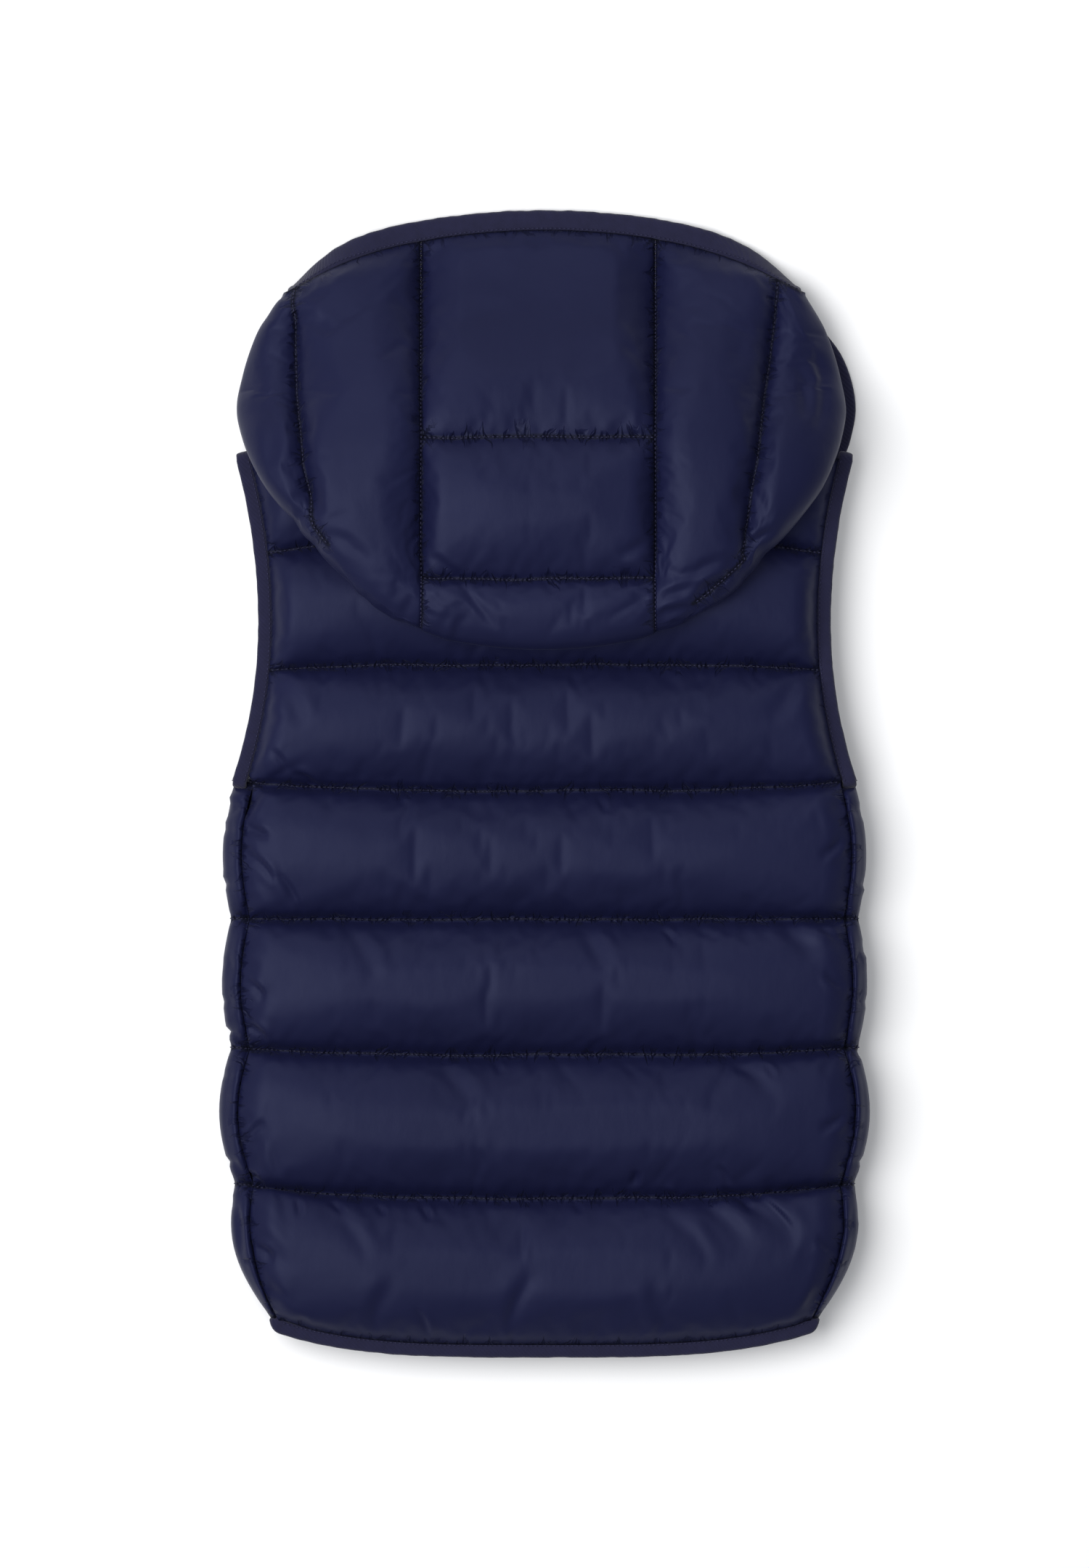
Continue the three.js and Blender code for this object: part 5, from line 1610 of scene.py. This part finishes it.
def smooth_stations(stations, between):
    """The same stations with between more eased in between each two."""
    places = [tuple(s.at) for s in stations]
    outs = [tuple(s.out) for s in stations]
    count = (len(stations) - 1) * between
    return [
        Station(spline_point(places, k / count), spline_point(outs, k / count).normalized())
        for k in range(count + 1)
    ]


def hood_binding():
    reach = SEAM_GAP + HOOD_BINDING.wide / 2

    def half(side):
        sign = SIGN[side]
        _, start, end, bow = hood_ribs(side)[0]
        stations = []

        def edge_at(share):
            return fold_point(start, end, share, rib_lift(bow, share))

        for share in FACE_SHARES:
            before = edge_at(share - FACE_STEP)
            along = edge_at(min(share, 1 - FACE_STEP) + FACE_STEP) - before
            level = Vector((-sign * along.y, along.x, 0)).normalized()
            first, last, degrees = BINDING_TURN
            turned = math.radians(degrees * clamp((share - first) / (last - first)))
            out = level * math.cos(turned) - Vector((0, 0, math.sin(turned)))
            at = edge_at(share)
            inset = level * (HOOD_BINDING.thick / 2 * ease(0.6, 1, share))
            beside = Vector((sign * at.x, at.y, at.z + HOOD_STITCHED / 2 + 0.4)) - inset
            stations.append(Station(beside + out * reach, out))
        for x, y, z, turn in BINDING_UNDER[side]:
            out = Vector((-sign * math.cos(turn), -math.sin(turn), 0))
            stations.append(Station(Vector((sign * x, y, z)), out))
        return stations

    middle = []
    for k in range(STRIP_STATIONS + 1):
        x = mix(HOOD_SEAM["left"], HOOD_SEAM["right"], k / STRIP_STATIONS)
        y = hood_panel_top(x)
        out = Vector((2 * HOOD_TOP_BEND * x, 1, 0)).normalized()
        z = max(hood_inside(x, y) + HOOD_STITCHED / 2, HOOD_BINDING.thick / 2)
        middle.append(Station(Vector((x, y, z)) + out * reach, out))
    stations = smooth_stations(half("left")[::-1] + middle + half("right"), 4)
    piece = strip("hood_elastic", stations, HOOD_BINDING, False, 41)
    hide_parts("hood_binding")
    long = sum((b.at - a.at).length for a, b in zip(stations, stations[1:]))
    stitch_strip(stations[24:-24], HOOD_BINDING, HOOD_STITCH_INSET, 1)
    sew("hood_elastic_stitches")


LAYER_VOXEL = 0.0032  # metres
LAYER_CREASE = 0.9
LAYER_FLAT = 0.0015  # metres above the floor, below which they lie smooth


def hood_hidden_layers():
    """The folded layers under the hood, rounded and creased from the CAD's own form."""
    form = bmesh.new()
    form.from_mesh(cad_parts["hood_folded_layers"].data)
    bmesh.ops.remove_doubles(form, verts=form.verts, dist=1e-5)
    mesh = mesh_of(form, "hood_layers")
    piece = new_piece("hood_layers", mesh)
    remesh = piece.modifiers.new("even_cloth", "REMESH")
    remesh.mode = "VOXEL"
    remesh.voxel_size = LAYER_VOXEL
    soften = piece.modifiers.new("soft_edges", "SMOOTH")
    soften.factor = 0.5
    soften.iterations = 3
    soft = bpy.data.meshes.new_from_object(applied(piece))
    piece.modifiers.clear()
    piece.data = soft
    bpy.data.meshes.remove(mesh)
    for vert in soft.vertices:
        if vert.co.z > LAYER_FLAT:
            fold = unevenness(vert.co.x / METRE, vert.co.y / METRE, 16, 8)
            vert.co -= vert.normal * (LAYER_CREASE * METRE * abs(fold))
    dress(piece, NYLON)
    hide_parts("hood_folded_layers")


# Zip

TOOTH_PITCH = 2.6
TOOTH = (2.3, 1.35, 2.7)  # across, along and through the chain
TOOTH_OUT = 0.45  # of a tooth's middle from the chain's
CORD_WIDE = 0.9  # the cord that the teeth sit on
CORD_THICK = 1.7
CORD_OUT = 1.25
SLIDER_LOW = 119.6
SLIDER = (9.6, 12.0, 1.0)  # wide, long and the thickness of a plate
OUTER_PLATE_Z = ZIP_Z - TEETH_THICK / 2 - 0.4 - SLIDER[2] / 2
INNER_PLATE_Z = ZIP_Z + TEETH_THICK / 2 + 0.3 + SLIDER[2] / 2
Bail = namedtuple("Bail", "low high post wide gap bar")
BAIL = Bail(low=120.9, high=128.3, post=1.6, wide=1.8, gap=2.8, bar=1.4)
Pull = namedtuple("Pull", "wide long thick arm ring_long hang")
PULL = Pull(wide=6.4, long=24, thick=1.5, arm=1.6, ring_long=9, hang=22)
PULL_AXIS = (124.6, OUTER_PLATE_Z - SLIDER[2] / 2 - BAIL.gap / 2)
GRIP = (PULL.wide - 2, 0.7, PULL.thick + 0.5)  # one rib of the tab's grip
GRIP_START = 3.2  # from the ring to the first rib
GRIP_PITCH = 2.2


def rounded_block(form, size, place, soft, rounds=2):
    """Adds a block with rounded edges to a form, in millimetres."""
    box = bmesh.new()
    bmesh.ops.create_cube(box, size=1)
    bmesh.ops.scale(box, vec=size, verts=box.verts)
    edges = list(box.edges)
    bmesh.ops.bevel(
        box, geom=edges, offset=soft, segments=rounds, profile=0.5, affect="EDGES", material=-1
    )
    bmesh.ops.translate(box, vec=place, verts=box.verts)
    add_to(form, box)


def finished(name, form, material, body="vest"):
    """Turns a form in millimetres into a finished piece in metres."""
    bmesh.ops.scale(form, vec=(METRE, METRE, METRE), verts=form.verts)
    piece = new_piece(name, mesh_of(form, name))
    dress(piece, material, body)
    return piece


def zip_tape(side):
    sign = SIGN[side]
    inner = TEETH_HALF + SEAM_GAP
    wide = ZIP_EDGE - SEAM_GAP - inner
    long = ZIP_TOP - ZIP_BOTTOM
    form = bmesh.new()
    middle = (sign * (inner + wide / 2), (ZIP_TOP + ZIP_BOTTOM) / 2, ZIP_Z)
    rounded_block(form, (wide, long, TAPE_THICK), middle, 0.3)
    cuts = [edge for edge in form.edges if abs(edge.verts[0].co.y - edge.verts[1].co.y) > long / 2]
    bmesh.ops.subdivide_edges(form, edges=cuts, cuts=60, use_grid_fill=True)
    for vert in form.verts:
        vert.co.z += 0.15 * unevenness(vert.co.x, vert.co.y, 9, 14)
    piece = finished("tape_" + side, form, TAPE)
    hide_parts("zip_tape_" + side)


def zip_teeth():
    """Two rows of moulded teeth that close into each other, on a cord at each side."""
    form = bmesh.new()
    long = TEETH_TOP - ZIP_BOTTOM
    for k in range(int(long / TOOTH_PITCH)):
        sign = 1 if k % 2 else -1
        y = ZIP_BOTTOM + TOOTH_PITCH * (k + 0.5)
        rounded_block(form, TOOTH, (sign * TOOTH_OUT, y, ZIP_Z), 0.3, 1)
    for sign in (-1, 1):
        middle = (sign * CORD_OUT, (TEETH_TOP + ZIP_BOTTOM) / 2, ZIP_Z)
        rounded_block(form, (CORD_WIDE, long, CORD_THICK), middle, 0.35, 2)
    piece = finished("teeth", form, MOULDED)
    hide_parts("zip_teeth")


def zip_slider():
    y = SLIDER_LOW + SLIDER[1] / 2
    deep = INNER_PLATE_Z - OUTER_PLATE_Z
    post_z = OUTER_PLATE_Z - BAIL.gap / 2 - 0.2
    post_deep = BAIL.gap + SLIDER[2]
    bar_z = OUTER_PLATE_Z - SLIDER[2] / 2 - BAIL.gap - BAIL.bar / 2
    wedge_long = SLIDER_LOW + SLIDER[1] - TEETH_TOP - SEAM_GAP
    wedge_y = TEETH_TOP + SEAM_GAP + wedge_long / 2
    form = bmesh.new()
    for z in (OUTER_PLATE_Z, INNER_PLATE_Z):
        rounded_block(form, SLIDER, (0, y, z), 0.4, 3)
    rounded_block(form, (2 * TEETH_HALF, wedge_long, deep), (0, wedge_y, ZIP_Z), 0.6, 3)
    for post_y in (BAIL.low + BAIL.post / 2, BAIL.high - BAIL.post / 2):
        rounded_block(form, (BAIL.wide, BAIL.post, post_deep), (0, post_y, post_z), 0.35, 3)
    bar = (BAIL.wide, BAIL.high - BAIL.low, BAIL.bar)
    rounded_block(form, bar, (0, (BAIL.low + BAIL.high) / 2, bar_z), 0.5, 3)
    piece = finished("slider", form, MOULDED)
    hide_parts("zip_slider")


def zip_pull():
    tab_long = PULL.long - PULL.ring_long
    arm_x = (PULL.wide - PULL.arm) / 2
    form = bmesh.new()
    rounded_block(form, (PULL.wide, PULL.thick, PULL.thick), (0, 0, 0), 0.5, 3)
    for sign in (-1, 1):
        arm = (PULL.arm, PULL.ring_long + PULL.thick / 2, PULL.thick)
        rounded_block(form, arm, (sign * arm_x, -PULL.ring_long / 2, 0), 0.45, 3)
    tab = (PULL.wide, tab_long, PULL.thick)
    rounded_block(form, tab, (0, -PULL.ring_long - tab_long / 2 + 0.2, 0), 0.6, 4)
    for k in range(5):
        rib_y = -PULL.ring_long - GRIP_START - GRIP_PITCH * k
        rounded_block(form, GRIP, (0, rib_y, 0), 0.2, 2)
    hang = Matrix.Rotation(math.radians(PULL.hang), 3, "X")
    bmesh.ops.rotate(form, cent=(0, 0, 0), matrix=hang, verts=form.verts)
    bmesh.ops.translate(form, vec=(0, *PULL_AXIS), verts=form.verts)
    piece = finished("pull", form, MOULDED, "pull_tab")
    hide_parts("zip_pull")


back_panel()
for hand in ("left", "right"):
    front_panel(hand)
    armhole_binding(hand)
    hood_side(hand)
    zip_tape(hand)
hem_binding()
hood_middle()
hood_binding()
hood_hidden_layers()
zip_teeth()
zip_slider()
zip_pull()
